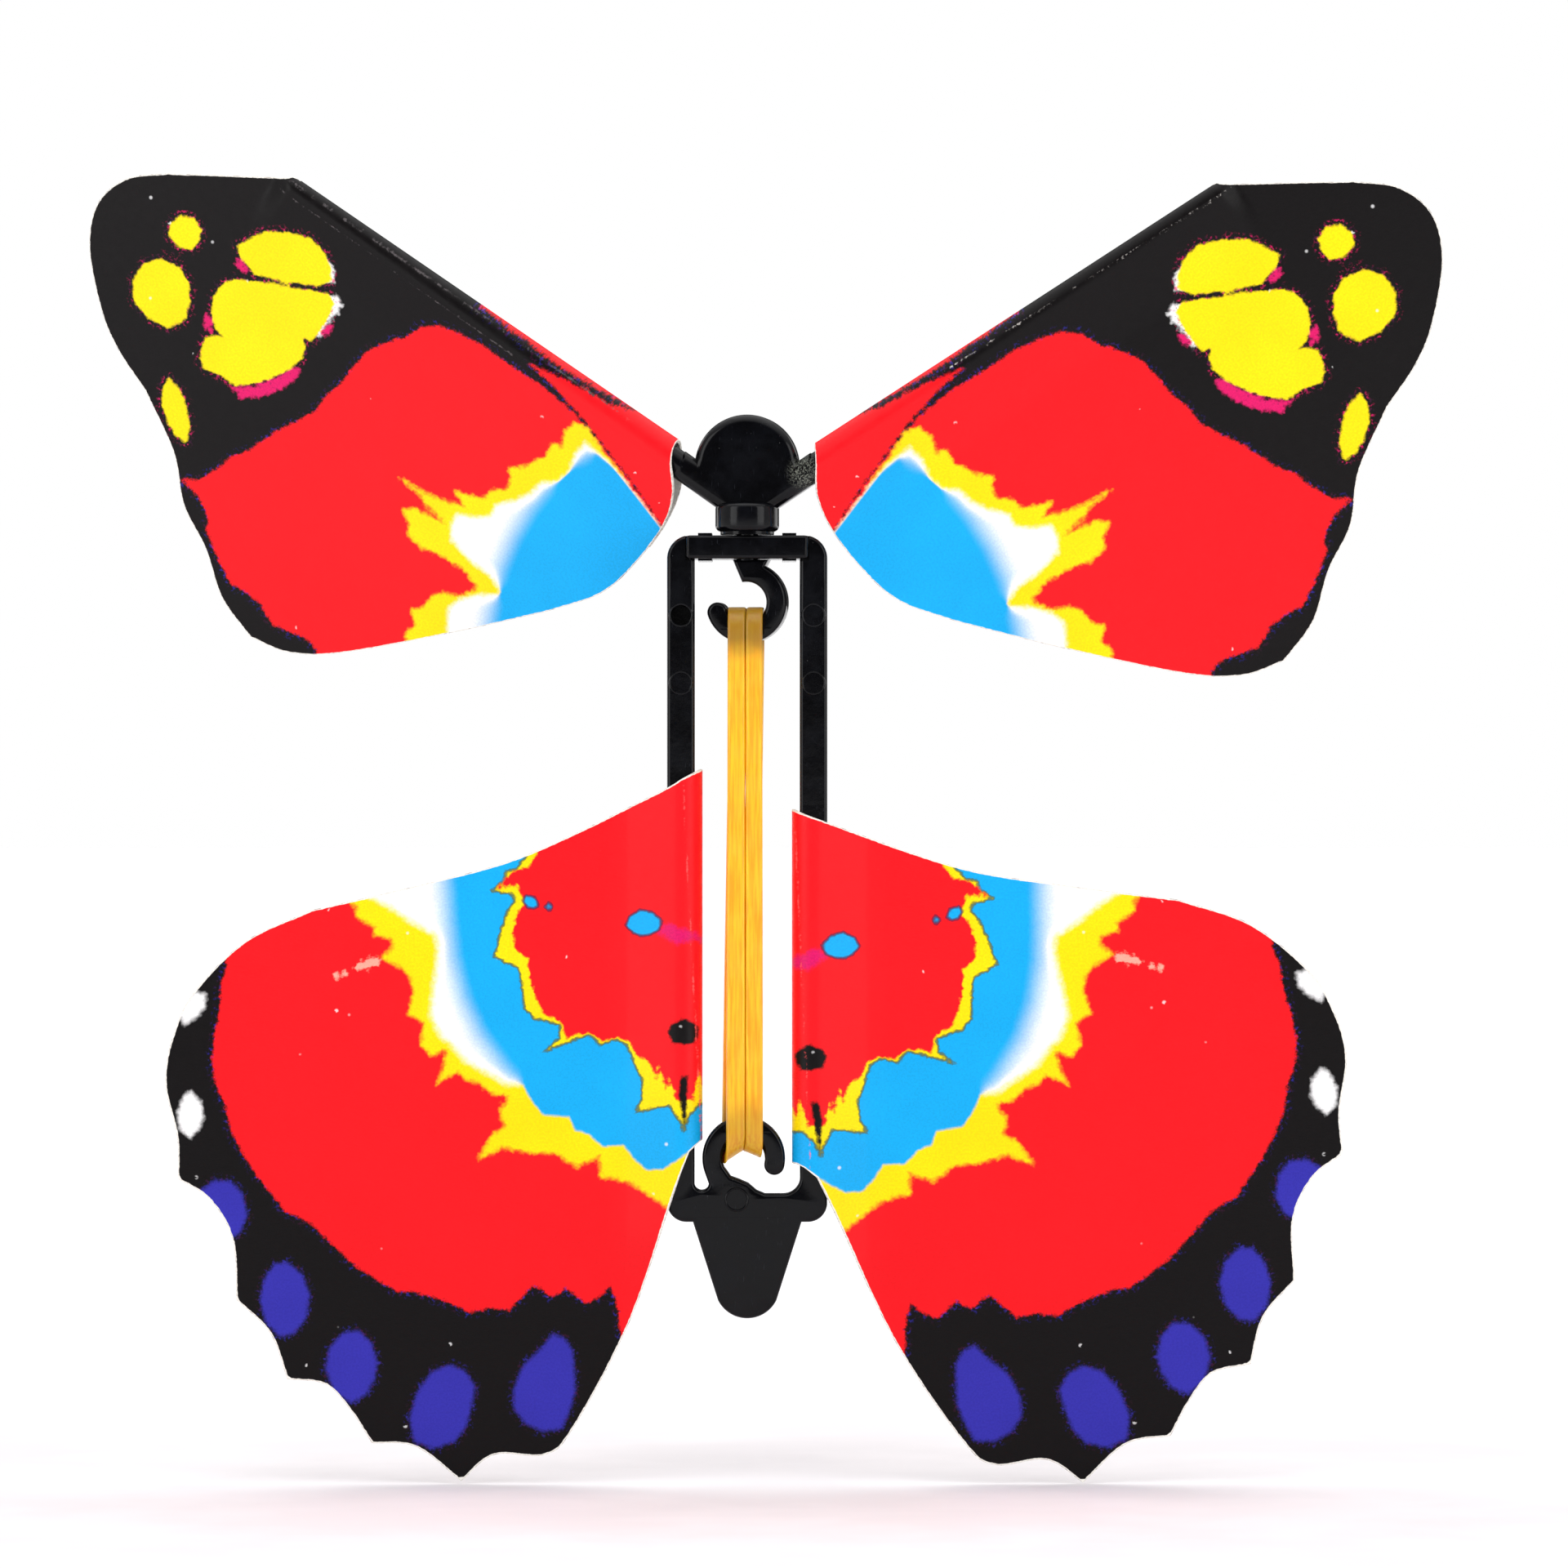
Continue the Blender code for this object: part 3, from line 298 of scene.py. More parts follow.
def colour(red, green, blue):
    """A linear colour from display values between 0 and 255."""
    values = (c / 255 for c in (red, green, blue))
    linear = (c / 12.92 if c < 0.04045 else ((c + 0.055) / 1.055) ** 2.4 for c in values)
    return (*linear, 1.0)


def linked(name, data):
    """A new object in the scene."""
    obj = bpy.data.objects.new(name, data)
    bpy.context.scene.collection.objects.link(obj)
    return obj


class Nodes:
    """A material's or a world's nodes: a call adds one and returns the socket that carries its result."""

    def __init__(self, owner):
        self.owner = owner
        owner.use_nodes = True
        self.tree = owner.node_tree
        self.shader = self.tree.nodes.get("Principled BSDF")

    def add(self, kind, output=0, inputs=(), **settings):
        node = self.tree.nodes.new(kind)
        for key, value in settings.items():
            setattr(node, key, value)
        for key, value in dict(inputs).items():
            self.put(node.inputs[key], value)
        return node.outputs[output]

    def put(self, socket, value):
        if isinstance(value, bpy.types.NodeSocket):
            self.tree.links.new(value, socket)
        else:
            socket.default_value = value

    def set(self, **inputs):
        for key, value in inputs.items():
            self.put(self.shader.inputs[key.replace("_", " ")], value)

    def attribute(self, name, output="Fac"):
        return self.add("ShaderNodeAttribute", output, attribute_name=name)

    def math(self, operation, a, b=0.0, c=0.0):
        return self.add("ShaderNodeMath", 0, {0: a, 1: b, 2: c}, operation=operation)

    def stretch(self, vector, factors):
        return self.add("ShaderNodeVectorMath", 0, {0: vector, 1: factors}, operation="MULTIPLY")

    def part(self, vector, axis):
        return self.add("ShaderNodeSeparateXYZ", axis, {0: vector})

    def millimetres(self):
        """The piece's own coordinates in millimetres."""
        return self.stretch(self.add("ShaderNodeTexCoord", "Object"), (1 / MM, 1 / MM, 1 / MM))

    def noise(self, vector, scale, detail=3.0, roughness=0.55):
        inputs = {"Vector": vector, "Scale": scale, "Detail": detail, "Roughness": roughness}
        return self.add("ShaderNodeTexNoise", "Fac", inputs)

    def voronoi(self, vector, scale):
        return self.add("ShaderNodeTexVoronoi", "Distance", {"Vector": vector, "Scale": scale})

    def step(self, value, low, high, first=0.0, last=1.0):
        """A smooth change from first to last while the value goes from low to high."""
        inputs = {"Value": value, "From Min": low, "From Max": high, "To Min": first, "To Max": last}
        return self.add("ShaderNodeMapRange", 0, inputs, interpolation_type="SMOOTHSTEP")

    def mix(self, share, a, b):
        return self.add("ShaderNodeMix", 2, {0: share, 6: a, 7: b}, data_type="RGBA")

    def both(self, a, b):
        return self.math("MULTIPLY", a, b)

    def shifted(self, value, noise, amount):
        """A value moved up and down by a noise around 0.5."""
        return self.math("MULTIPLY_ADD", self.math("SUBTRACT", noise, 0.5), amount, value)

    def bump(self, height, distance):
        """Relief from a height between 0 and 1, whose distance is in millimetres."""
        return self.add("ShaderNodeBump", 0, {"Height": height, "Distance": distance * MM, "Strength": 1.0})


# ---------------------------------------------------------------- outlines and fields


def arc(centre, radius, start, end, steps=24):
    """Points on a circle, angles in degrees, both ends included."""
    angles = (radians(start + (end - start) * i / steps) for i in range(steps + 1))
    return [(centre[0] + radius * cos(a), centre[1] + radius * sin(a)) for a in angles]


def smooth_stretch(points, spacing):
    """A Catmull-Rom curve through the points, which leaves the last point to the next stretch."""
    first, last = Vector(points[0]), Vector(points[-1])
    knots = [2 * first - Vector(points[1]), *map(Vector, points), 2 * last - Vector(points[-2])]
    curve = []
    for a, b, c, d in zip(knots, knots[1:], knots[2:], knots[3:]):
        steps = max(1, round((c - b).length / spacing))
        for i in range(steps):
            t = i / steps
            square = (2 * a - 5 * b + 4 * c - d) * t**2
            cube = (3 * b - a - 3 * c + d) * t**3
            curve.append(tuple((2 * b + (c - a) * t + square + cube) / 2))
    return curve


def smooth_outline(stretches, spacing=0.3):
    return [point for stretch in stretches for point in smooth_stretch(stretch, spacing)]


def gap_to_edge(points, start, end):
    edge = end - start
    share = np.clip(((points - start) @ edge) / max(edge @ edge, 1e-12), 0, 1)
    return np.linalg.norm(points - start - share[:, None] * edge, axis=1)


def signed_distance(points, polygons):
    """How far each point is inside the nearest polygon, or outside it as a negative number."""
    best = np.full(len(points), -1e3)
    for polygon in polygons:
        corners = np.array(polygon, float)
        inside = np.zeros(len(points), bool)
        distance = np.full(len(points), 1e3)
        for start, end in zip(corners, np.roll(corners, -1, axis=0)):
            distance = np.minimum(distance, gap_to_edge(points, start, end))
            crosses = (start[1] > points[:, 1]) != (end[1] > points[:, 1])
            if crosses.any():
                slope = (end[0] - start[0]) / (end[1] - start[1])
                inside ^= crosses & (points[:, 0] < slope * (points[:, 1] - start[1]) + start[0])
        best = np.maximum(best, np.where(inside, distance, -distance))
    return best


def line_distance(points, lines):
    """How far each point is from the nearest of some open lines."""
    best = np.full(len(points), 1e3)
    for line in lines:
        corners = np.array(line, float)
        for start, end in zip(corners, corners[1:]):
            best = np.minimum(best, gap_to_edge(points, start, end))
    return best


def ease(value, low, high):
    share = np.clip((value - low) / (high - low), 0, 1)
    return share * share * (3 - 2 * share)


# ---------------------------------------------------------------- card wings


class Fold:
    """A card folded round a rod. A place on it is (along the rod, across the card).

    Across is 0 where the flap's edge meets the panel, positive out along the panel, and negative
    round the front of the rod to the fold, on behind the rod and along the flap."""

    def __init__(self, throat, span, camber, radius, bulge, middle):
        self.throat, self.span, self.camber = throat, span, camber
        self.radius, self.bulge = radius, bulge
        rod, first, last, front_line, back_line = self.parts(np.array([middle]))
        self.front = float(front_line[0] + rod[0] * (pi - first[0]))
        self.back = float(back_line[0] + rod[0] * (last[0] - pi))
        self.flap_end = -self.front - self.back - FLAP_LENGTH

    def parts(self, along):
        rod = self.radius(along)
        reach = sqrt(self.throat**2 + FLAP_RISE**2)
        first = np.arccos(rod / self.throat)
        last = 2 * pi - atan2(FLAP_RISE, self.throat) - np.arccos(rod / reach)
        return rod, first, last, np.sqrt(self.throat**2 - rod**2), np.sqrt(reach**2 - rod**2)

    def point(self, along, across):
        """(distance out from the rod, depth) of places on the middle of the card."""
        rod, first, last, front_line, back_line = self.parts(along)
        front_length, back_arc = front_line + rod * (pi - first), rod * (last - pi)
        ahead = -across / self.front * front_length
        behind = (-across - self.front) / self.back * (back_arc + back_line)
        flap = -across - self.front - self.back
        line = np.clip(ahead / front_line, 0, 1)
        turn = first + (ahead - front_line) / rod
        back_turn = pi + behind / rod
        leave = np.clip((behind - back_arc) / back_line, 0, 1)
        where = [
            across >= 0,
            ahead <= front_line,
            across >= -self.front,
            behind <= back_arc,
            across >= -self.front - self.back,
        ]
        out = np.select(
            where,
            [
                self.throat + across,
                self.throat + (rod * np.cos(first) - self.throat) * line,
                rod * np.cos(turn),
                rod * np.cos(back_turn),
                rod * np.cos(last) + (self.throat - rod * np.cos(last)) * leave,
            ],
            self.throat + flap,
        )
        keep = self.bulge(along)
        depth = np.select(
            where,
            [
                self.camber * (across / self.span) ** 2,
                -rod * np.sin(first) * line * keep,
                -rod * np.sin(turn) * keep,
                -rod * np.sin(back_turn),
                -rod * np.sin(last) + (FLAP_RISE + rod * np.sin(last)) * leave,
            ],
            FLAP_RISE,
        )
        return out, depth

    def front_across(self, along, out):
        """Across for places on the front, from how far out they are."""
        rod, first, _, front_line, _ = self.parts(along)
        length = front_line + rod * (pi - first)
        line = (self.throat - out) / (self.throat - rod * np.cos(first)) * front_line
        turn = np.arccos(np.clip(out / rod, -1, 1))
        ahead = np.where(out >= rod * np.cos(first), line, front_line + rod * (turn - first))
        return np.where(out >= self.throat, out - self.throat, -ahead / length * self.front)

    def back_across(self, along, out):
        """Across for places behind the rod or on the flap, from how far out they are."""
        rod, _, last, _, back_line = self.parts(along)
        back_arc, leave = rod * (last - pi), rod * np.cos(last)
        turn = 2 * pi - np.arccos(np.clip(out / rod, -1, 1))
        line = back_arc + (out - leave) / (self.throat - leave) * back_line
        behind = np.where(out <= leave, rod * (turn - pi), line)
        share = behind / (back_arc + back_line)
        flap = -self.front - self.back - (out - self.throat)
        return np.where(out >= self.throat, flap, -self.front - share * self.back)

    def printed(self, along, across):
        """How far out on the print each place is: the print runs on round the fold and behind it."""
        out, _ = self.point(along, across)
        return np.where(across >= -self.front, out, -self.radius(along) + across + self.front)


def clipped(polygon, axis, limit, keep):
    """The part of a polygon where a coordinate is above (keep 1) or below (keep -1) a limit."""
    result = []
    for start, end in zip(polygon, polygon[1:] + polygon[:1]):
        a, b = keep * (start[axis] - limit), keep * (end[axis] - limit)
        if a >= 0:
            result.append(start)
        if a * b < 0:
            share = a / (a - b)
            result.append(tuple(s + (e - s) * share for s, e in zip(start, end)))
    return result


def subdivided(points, spacing):
    """A closed outline with its long edges divided."""
    result = []
    for start, end in zip(points, np.roll(points, -1, axis=0)):
        steps = max(1, round(float(np.linalg.norm(end - start)) / spacing))
        result += [start + (end - start) * i / steps for i in range(steps)]
    return np.array(result)


def card_outline(fold, outline, sleeve_end, keep):
    """A card's whole outline in (along, across), from its outline seen from the front.

    The same outline trims what is folded behind, which also stops at the sleeve's end."""
    out = np.array(outline)
    front = out[:, 1] > -fold.radius(out[:, 0])
    start = next(i for i in range(len(out)) if front[i] and not front[i - 1])
    out, front = np.roll(out, -start, axis=0), np.roll(front, -start)
    count = int(np.argmin(front))

    def crossing(inner, outer):
        a, b = (p[1] + fold.radius(p[0]) for p in (inner, outer))
        point = inner + (outer - inner) * a / (a - b)
        return np.array([point[0], -fold.radius(point[0])])

    run = np.vstack([crossing(out[0], out[-1]), out[:count], crossing(out[count - 1], out[count])])
    ahead = np.column_stack([run[:, 0], fold.front_across(run[:, 0], run[:, 1])])
    behind = clipped([tuple(p) for p in run], 0, sleeve_end, keep)
    behind = clipped(behind, 1, fold.throat + FLAP_LENGTH, -1)
    last = behind.index(tuple(run[-1]))
    behind = np.array(behind[last + 1 :] + behind[:last])[::-1]
    back = np.column_stack([behind[:, 0], fold.back_across(behind[:, 0], behind[:, 1])])
    if np.allclose(back[-1], ahead[0]):
        back = back[:-1]
    return subdivided(np.vstack([ahead, back]), CARD_SPACING)


def card_triangles(border, inset, fields_at):
    """Places and triangles that fill a card: close together on the sleeve and at the print's edges."""
    low, high = border.min(0), border.max(0)
    rows = np.arange(low[1], high[1], CARD_SPACING * sqrt(0.75))
    columns = np.arange(low[0], high[0], CARD_SPACING)
    grid = np.array([(x + CARD_SPACING / 2 * (j % 2), y) for j, y in enumerate(rows) for x in columns])
    index = np.array([(i, j) for j in range(len(rows)) for i in range(len(columns))])
    near_print_edge = np.abs(fields_at(grid)).min(axis=1) < 0.5
    on_sleeve = grid[:, 1] < 0.4
    sparse = (index[:, 0] % 3 == 0) & (index[:, 1] % 3 == 0)
    border_gap = 0.14
    grid = grid[near_print_edge | on_sleeve | sparse]
    grid = grid[signed_distance(grid, [inset]) > border_gap]
    places = [Vector(p) for p in (*inset, *grid)]
    made = delaunay_2d_cdt(places, [], [list(range(len(inset)))], 1, 1e-5, True)
    order = np.array([ids[0] for ids in made[3]])
    points = np.array([tuple(v) for v in made[0]])
    faces = np.array(made[2])
    faces = faces[signed_distance(points[faces].mean(axis=1), [inset]) > 0]
    where = np.full(len(inset), -1)
    where[order[order < len(inset)]] = np.nonzero(order < len(inset))[0]
    return points, faces, where


def build_card(name, side, fold, border, arrange, to_print, matrix, regions):
    """A wing's card as one closed mesh, which stores where each print area's edge is."""
    bevel, half = CARD_EDGE, CARD / 2
    ahead, behind = np.roll(border, -1, axis=0), np.roll(border, 1, axis=0)
    along_edge = (ahead - behind) / np.linalg.norm(ahead - behind, axis=1)[:, None]
    area = np.sum(border[:, 0] * ahead[:, 1] - ahead[:, 0] * border[:, 1])
    outward = np.column_stack([along_edge[:, 1], -along_edge[:, 0]]) * np.sign(area)
    inset = border - bevel * outward

    def print_place(places):
        return to_print(places[:, 0], fold.printed(places[:, 0], places[:, 1]))

    def fields_at(places):
        sheet = print_place(places)
        return np.column_stack([signed_distance(sheet, polygons) for polygons in regions.values()])

    places, faces, where = card_triangles(border, inset, fields_at)

    def middle(p):
        reach = 1.2 * (1 - ease(np.abs(p[:, 1]), 0, 3))
        samples = [fold.point(p[:, 0], p[:, 1] + reach * share) for share in (-1, -0.5, 0, 0.5, 1)]
        out, depth = np.mean(samples, axis=0)
        return arrange(p[:, 0], out, depth)

    def normal(p, reach=0.15):
        across_a = middle(p + [reach, 0]) - middle(p - [reach, 0])
        across_b = middle(p + [0, reach]) - middle(p - [0, reach])
        n = -side * np.cross(across_a, across_b)
        return n / np.linalg.norm(n, axis=1)[:, None]

    centre, facing = middle(places), normal(places)
    edge_places = places[where]
    edge_centre, edge_facing = centre[where], facing[where]
    lean = middle(border) - edge_centre
    lean -= np.sum(lean * edge_facing, axis=1)[:, None] * edge_facing
    lean /= np.linalg.norm(lean, axis=1)[:, None]
    vertices, normals = [centre + half * facing, centre - half * facing], [facing, -facing]
    turns = (30, 60, 90)
    rings = [(radians(t), 1) for t in turns] + [(radians(t), -1) for t in reversed(turns)]
    for turn, way in rings:
        lift = way * (half - bevel + bevel * cos(turn))
        vertices.append(edge_centre + lean * bevel * sin(turn) + edge_facing * lift)
        normals.append(lean * sin(turn) + edge_facing * way * cos(turn))
    count, edge = len(places), len(border)
    corners = vertices[0][faces]
    normals_of_faces = np.cross(corners[:, 1] - corners[:, 0], corners[:, 2] - corners[:, 0])
    if np.sum(normals_of_faces * facing[faces[:, 0]]) < 0:
        faces = faces[:, ::-1]
    loops = [where, *(2 * count + i * edge + np.arange(edge) for i in range(len(rings))), where + count]
    polygons = [*faces.tolist(), *(faces[:, ::-1] + count).tolist()]
    slots = [0] * len(faces) + [1] * len(faces)
    follow = np.roll(np.arange(edge), -1)
    flip = None
    for upper, lower in zip(loops, loops[1:]):
        quads = np.column_stack([upper, lower, lower[follow], upper[follow]])
        if flip is None:
            stack = np.vstack(vertices)
            a, b, c = (stack[quads[0][k]] for k in (0, 1, 2))
            flip = np.cross(b - a, c - b) @ lean[0] < 0
        polygons += (quads[:, ::-1] if flip else quads).tolist()
        slots += [2] * edge
    stack, facing_all = np.vstack(vertices), np.vstack(normals)
    turn = np.array(matrix.to_3x3())
    stack = stack @ turn.T + np.array(matrix.translation)
    facing_all = facing_all @ turn.T
    facing_all /= np.linalg.norm(facing_all, axis=1)[:, None]
    mesh = bpy.data.meshes.new(f"{name}_wing_card")
    mesh.from_pydata(stack.tolist(), [], polygons)
    mesh.polygons.foreach_set("material_index", slots)
    mesh.polygons.foreach_set("use_smooth", [True] * len(polygons))
    everywhere = np.vstack([places, places, *[edge_places] * len(rings)])
    sheet = print_place(everywhere)
    store(mesh, "sheet", np.column_stack([sheet, np.zeros(len(sheet))]), "FLOAT_VECTOR")
    for region, values in zip(regions, fields_at(everywhere).T):
        store(mesh, region, values)
    rim = np.concatenate([signed_distance(places, [border])] * 2 + [np.zeros(edge * len(rings))])
    store(mesh, "rim", rim)
    store(mesh, "crease", line_distance(sheet, CREASES[name]))
    mesh.normals_split_custom_set_from_vertices(facing_all.tolist())
    obj = linked(f"{name}_wing_card", mesh)
    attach(obj, name)
    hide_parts(f"{name}_wing")
    return obj


def store(mesh, name, values, kind="FLOAT"):
    attribute = mesh.attributes.new(name, kind, "POINT")
    key = "vector" if kind == "FLOAT_VECTOR" else "value"
    attribute.data.foreach_set(key, np.asarray(values, np.float32).ravel())


def spar_radius(along):
    share = (along - SPAR_ROOT) / (SPAR_END - SPAR_ROOT)
    return ROOT_RADIUS + (END_RADIUS - ROOT_RADIUS) * share + GAP + CARD / 2


def upper_card(side_name, side):
    fold = Fold(
        UPPER_THROAT,
        UPPER_CHORD,
        UPPER_CAMBER,
        spar_radius,
        lambda a: 1 - ease(a, UPPER_SLEEVE_END, UPPER_FLAT),
        UPPER_MIDDLE,
    )
    turn = Matrix.Rotation(-side * SPAR_ANGLE[side_name], 4, "Y")
    slide = Matrix.Translation((side * UPPER_SLIDE[side_name], 0, 0))
    place = Matrix.Translation((0, 0, SPAR_ORIGIN)) @ turn @ slide
    matrix = TO_ROTOR @ place @ Matrix.Rotation(UPPER_TURN[side_name], 4, "X")
    return build_card(
        f"{side_name}_upper",
        side,
        fold,
        card_outline(fold, smooth_outline(UPPER_OUTLINE), UPPER_SLEEVE_END, -1),
        lambda along, out, depth: np.column_stack([side * along, depth, -out]),
        lambda along, out: np.column_stack([along, out]),
        matrix,
        UPPER_PRINT,
    )


def lower_card(side_name, side):
    fold = Fold(
        LOWER_THROAT,
        LOWER_SPAN,
        LOWER_CAMBER,
        lambda a: SLEEVE_RADIUS + 0 * a,
        lambda a: 1 - 0.7 * ease(-a, 39, 45) - 0.3 * ease(-a, 45, 50),
        0.0,
    )
    scale, shift = LOWER_FOLD[side_name]
    turn = np.array(Matrix.Rotation(-LOWER_SET[side_name], 2))

    def to_print(height, out):
        flat = np.column_stack([out, height]) @ turn
        return np.column_stack([(flat[:, 0] - shift) / scale, flat[:, 1]])

    outline = np.array(smooth_outline(LOWER_OUTLINE)) * [scale, 1] + [shift, 0]
    outline = (outline @ turn.T)[:, ::-1]
    leg = Matrix.Translation((side * LEG_AXIS, 0, LOWER_TOP + LOWER_SLIDE[side_name]))
    return build_card(
        f"{side_name}_lower",
        side,
        fold,
        card_outline(fold, outline, LOWER_SLEEVE_END, 1),
        lambda along, out, depth: np.column_stack([side * out, depth, along]),
        to_print,
        TO_WORLD @ leg,
        LOWER_PRINT,
    )


# ---------------------------------------------------------------- mouldings


def mesh_object(name, bm):
    bmesh.ops.recalc_face_normals(bm, faces=bm.faces)
    mesh = bpy.data.meshes.new(name)
    bm.to_mesh(mesh)
    bm.free()
    return linked(name, mesh)


def evaluated_mesh(obj):
    bpy.context.view_layer.update()
    return bpy.data.meshes.new_from_object(obj.evaluated_get(bpy.context.evaluated_depsgraph_get()))


def discard(*objects):
    for obj in objects:
        data = obj.data
        bpy.data.objects.remove(obj)
        (bpy.data.curves if isinstance(data, bpy.types.Curve) else bpy.data.meshes).remove(data)


def flat_moulding(loops, half, edge, steps=5):
    """A flat piece with rounded edges from outlines in the XZ plane."""
    curve = bpy.data.curves.new("outline", "CURVE")
    curve.dimensions, curve.fill_mode = "2D", "BOTH"
    curve.extrude, curve.bevel_depth, curve.offset = half - edge, edge, -edge
    curve.bevel_resolution = steps - 1
    for points in loops:
        spline = curve.splines.new("POLY")
        spline.points.add(len(points) - 1)
        for point, (x, z) in zip(spline.points, points):
            point.co = (x, z, 0, 1)
        spline.use_cyclic_u = True
    guide = linked("outline", curve)
    mesh = evaluated_mesh(guide)
    mesh.transform(Matrix.Rotation(pi / 2, 4, "X"))
    discard(guide)
    bm = bmesh.new()
    bm.from_mesh(mesh)
    bpy.data.meshes.remove(mesh)
    bmesh.ops.remove_doubles(bm, verts=bm.verts, dist=0.002)
    return mesh_object("moulding", bm)


def block(low, high, rounded=0.0):
    low, high = Vector(low), Vector(high)
    bm = bmesh.new()
    bmesh.ops.create_cube(bm, size=1.0)
    stretch = Matrix.Translation((high + low) / 2) @ Matrix.Diagonal((*(high - low), 1))
    bmesh.ops.transform(bm, matrix=stretch, verts=bm.verts)
    if rounded:
        bmesh.ops.bevel(bm, geom=bm.edges[:], offset=rounded, segments=4, profile=0.5, affect="EDGES")
    return mesh_object("block", bm)


def rod(start, end, start_radius, end_radius, segments=48):
    start, end = Vector(start), Vector(end)
    bm = bmesh.new()
    bmesh.ops.create_cone(
        bm, cap_ends=True, segments=segments, radius1=start_radius, radius2=end_radius,
        depth=(end - start).length,
    )
    turn = (end - start).to_track_quat("Z", "Y").to_matrix().to_4x4()
    bmesh.ops.transform(bm, matrix=Matrix.Translation((start + end) / 2) @ turn, verts=bm.verts)
    return mesh_object("rod", bm)


def turned(profile, steps=72, closed=False):
    """A solid of revolution about Z from (radius, z) points: an open profile starts and ends on the axis."""
    bm = bmesh.new()
    rings = []
    for radius, z in profile:
        if radius < 1e-6:
            rings.append([bm.verts.new((0, 0, z))] * steps)
            continue
        turns = (2 * pi * i / steps for i in range(steps))
        rings.append([bm.verts.new((radius * cos(a), radius * sin(a), z)) for a in turns])
    for upper, lower in zip(rings, rings[1:] + (rings[:1] if closed else [])):
        for i in range(steps):
            j = (i + 1) % steps
            corners = [upper[i], upper[j], lower[j], lower[i]]
            bm.faces.new([c for k, c in enumerate(corners) if c not in corners[:k]])
    return mesh_object("turned", bm)


def rounded_profile(radius, top, bottom, edge, steps=6):
    quarter = [pi / 2 * i / steps for i in range(steps + 1)]
    upper = [(radius - edge + edge * sin(a), top - edge + edge * cos(a)) for a in quarter]
    lower = [(radius - edge + edge * cos(a), bottom + edge - edge * sin(a)) for a in quarter]
    return [(0, top), *upper, *lower, (0, bottom)]


def ring_mark(x, z, radius, face):
    """A shallow round groove in a front face at y = -face."""
    profile = [(radius + 0.1 * cos(radians(a)), 0.09 * sin(radians(a))) for a in range(0, 360, 45)]
    ring = turned(profile, 40, closed=True)
    ring.data.transform(Matrix.Translation((x, -face, z)) @ Matrix.Rotation(pi / 2, 4, "X"))
    return ring


def combined(base, *changes):
    """One mesh from a base and (operation, object) changes made to it in turn."""
    for operation, other in changes:
        modifier = base.modifiers.new("change", "BOOLEAN")
        modifier.operation, modifier.object, modifier.solver = operation, other, "EXACT"
    mesh = evaluated_mesh(base)
    discard(base, *(other for _, other in changes))
    return mesh


def finish_moulding(name, mesh, matrix, body, node, material):
    mesh.name = name
    bm = bmesh.new()
    bm.from_mesh(mesh)
    bmesh.ops.remove_doubles(bm, verts=bm.verts, dist=0.004)
    bmesh.ops.dissolve_degenerate(bm, edges=bm.edges, dist=0.004)
    bm.to_mesh(mesh)
    bm.free()
    places = np.empty(len(mesh.vertices) * 3, np.float32)
    mesh.vertices.foreach_get("co", places)
    store(mesh, "place", places, "FLOAT_VECTOR")
    mesh.transform(matrix)
    mesh.shade_smooth()
    mesh.set_sharp_from_angle(angle=radians(38))
    mesh.materials.clear()
    mesh.materials.append(material)
    obj = linked(name, mesh)
    shading = obj.modifiers.new("even_shading", "WEIGHTED_NORMAL")
    shading.keep_sharp = True
    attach(obj, body)
    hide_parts(node)
    return obj


def hook_tip(hook, angle, start, end):
    x, z, inner, outer = hook
    middle, radius = (inner + outer) / 2, (outer - inner) / 2
    centre = (x + middle * cos(radians(angle)), z + middle * sin(radians(angle)))
    return arc(centre, radius, start, end, 20)


def frame_outline():
    outer, corner = LEG_OUTER, BASE_CORNER
    return [
        *arc((-outer + TOP_CORNER, FRAME_TOP - TOP_CORNER), TOP_CORNER, 90, 180, 14),
        *arc((-outer + corner, BASE_BOTTOM + corner), corner, 180, 270, 14),
        *tail_outline()[1:-1],
        *arc((outer - corner, BASE_BOTTOM + corner), corner, 270, 360, 14),
        *arc((outer - TOP_CORNER, FRAME_TOP - TOP_CORNER), TOP_CORNER, 0, 90, 14),
    ]


def window_outline():
    x, z, inner, outer = FRAME_HOOK
    return [
        (LEG_INNER, BAR_BOTTOM),
        *arc((LEG_INNER - 1.4, BASE_TOP + 1.4), 1.4, 0, -90, 12),
        (1.5, 24.75), (0.8, 25.05), (0.1, 25.65), (-0.7, 26.0), (-1.4, 26.25), (-1.97, 27.1),
        *arc((x, z), inner, 195, -12, 48),
        *hook_tip(FRAME_HOOK, -12, 168, 348),
        *arc((x, z), outer, -12, 200, 56)[1:],
        *arc((-LEG_INNER + 0.6, BASE_TOP + 0.9), 0.6, 0, -180, 16),
        (-LEG_INNER, BAR_BOTTOM),
    ]


def tail_outline():
    half, tip = TAIL_WIDTH / 2, (0.0, TAIL_TIP + TAIL_TIP_RADIUS)
    rise = BASE_BOTTOM - tip[1]
    slope = pi / 2 - acos(TAIL_TIP_RADIUS / sqrt(half**2 + rise**2)) + atan2(half, rise)
    touch = (slope - pi / 2) * 180 / pi
    sides = arc(tip, TAIL_TIP_RADIUS, 180 - touch, 360 + touch, 40)
    root = BASE_TOP - 0.7
    return [(-half, root), (-half, BASE_BOTTOM), *sides, (half, BASE_BOTTOM), (half, root)]


def shaft_clearance():
    ends = (0, 0, BAR_BOTTOM - 2), (0, 0, FRAME_TOP + 2)
    return rod(*ends, SHAFT_RADIUS + GAP, SHAFT_RADIUS + GAP)


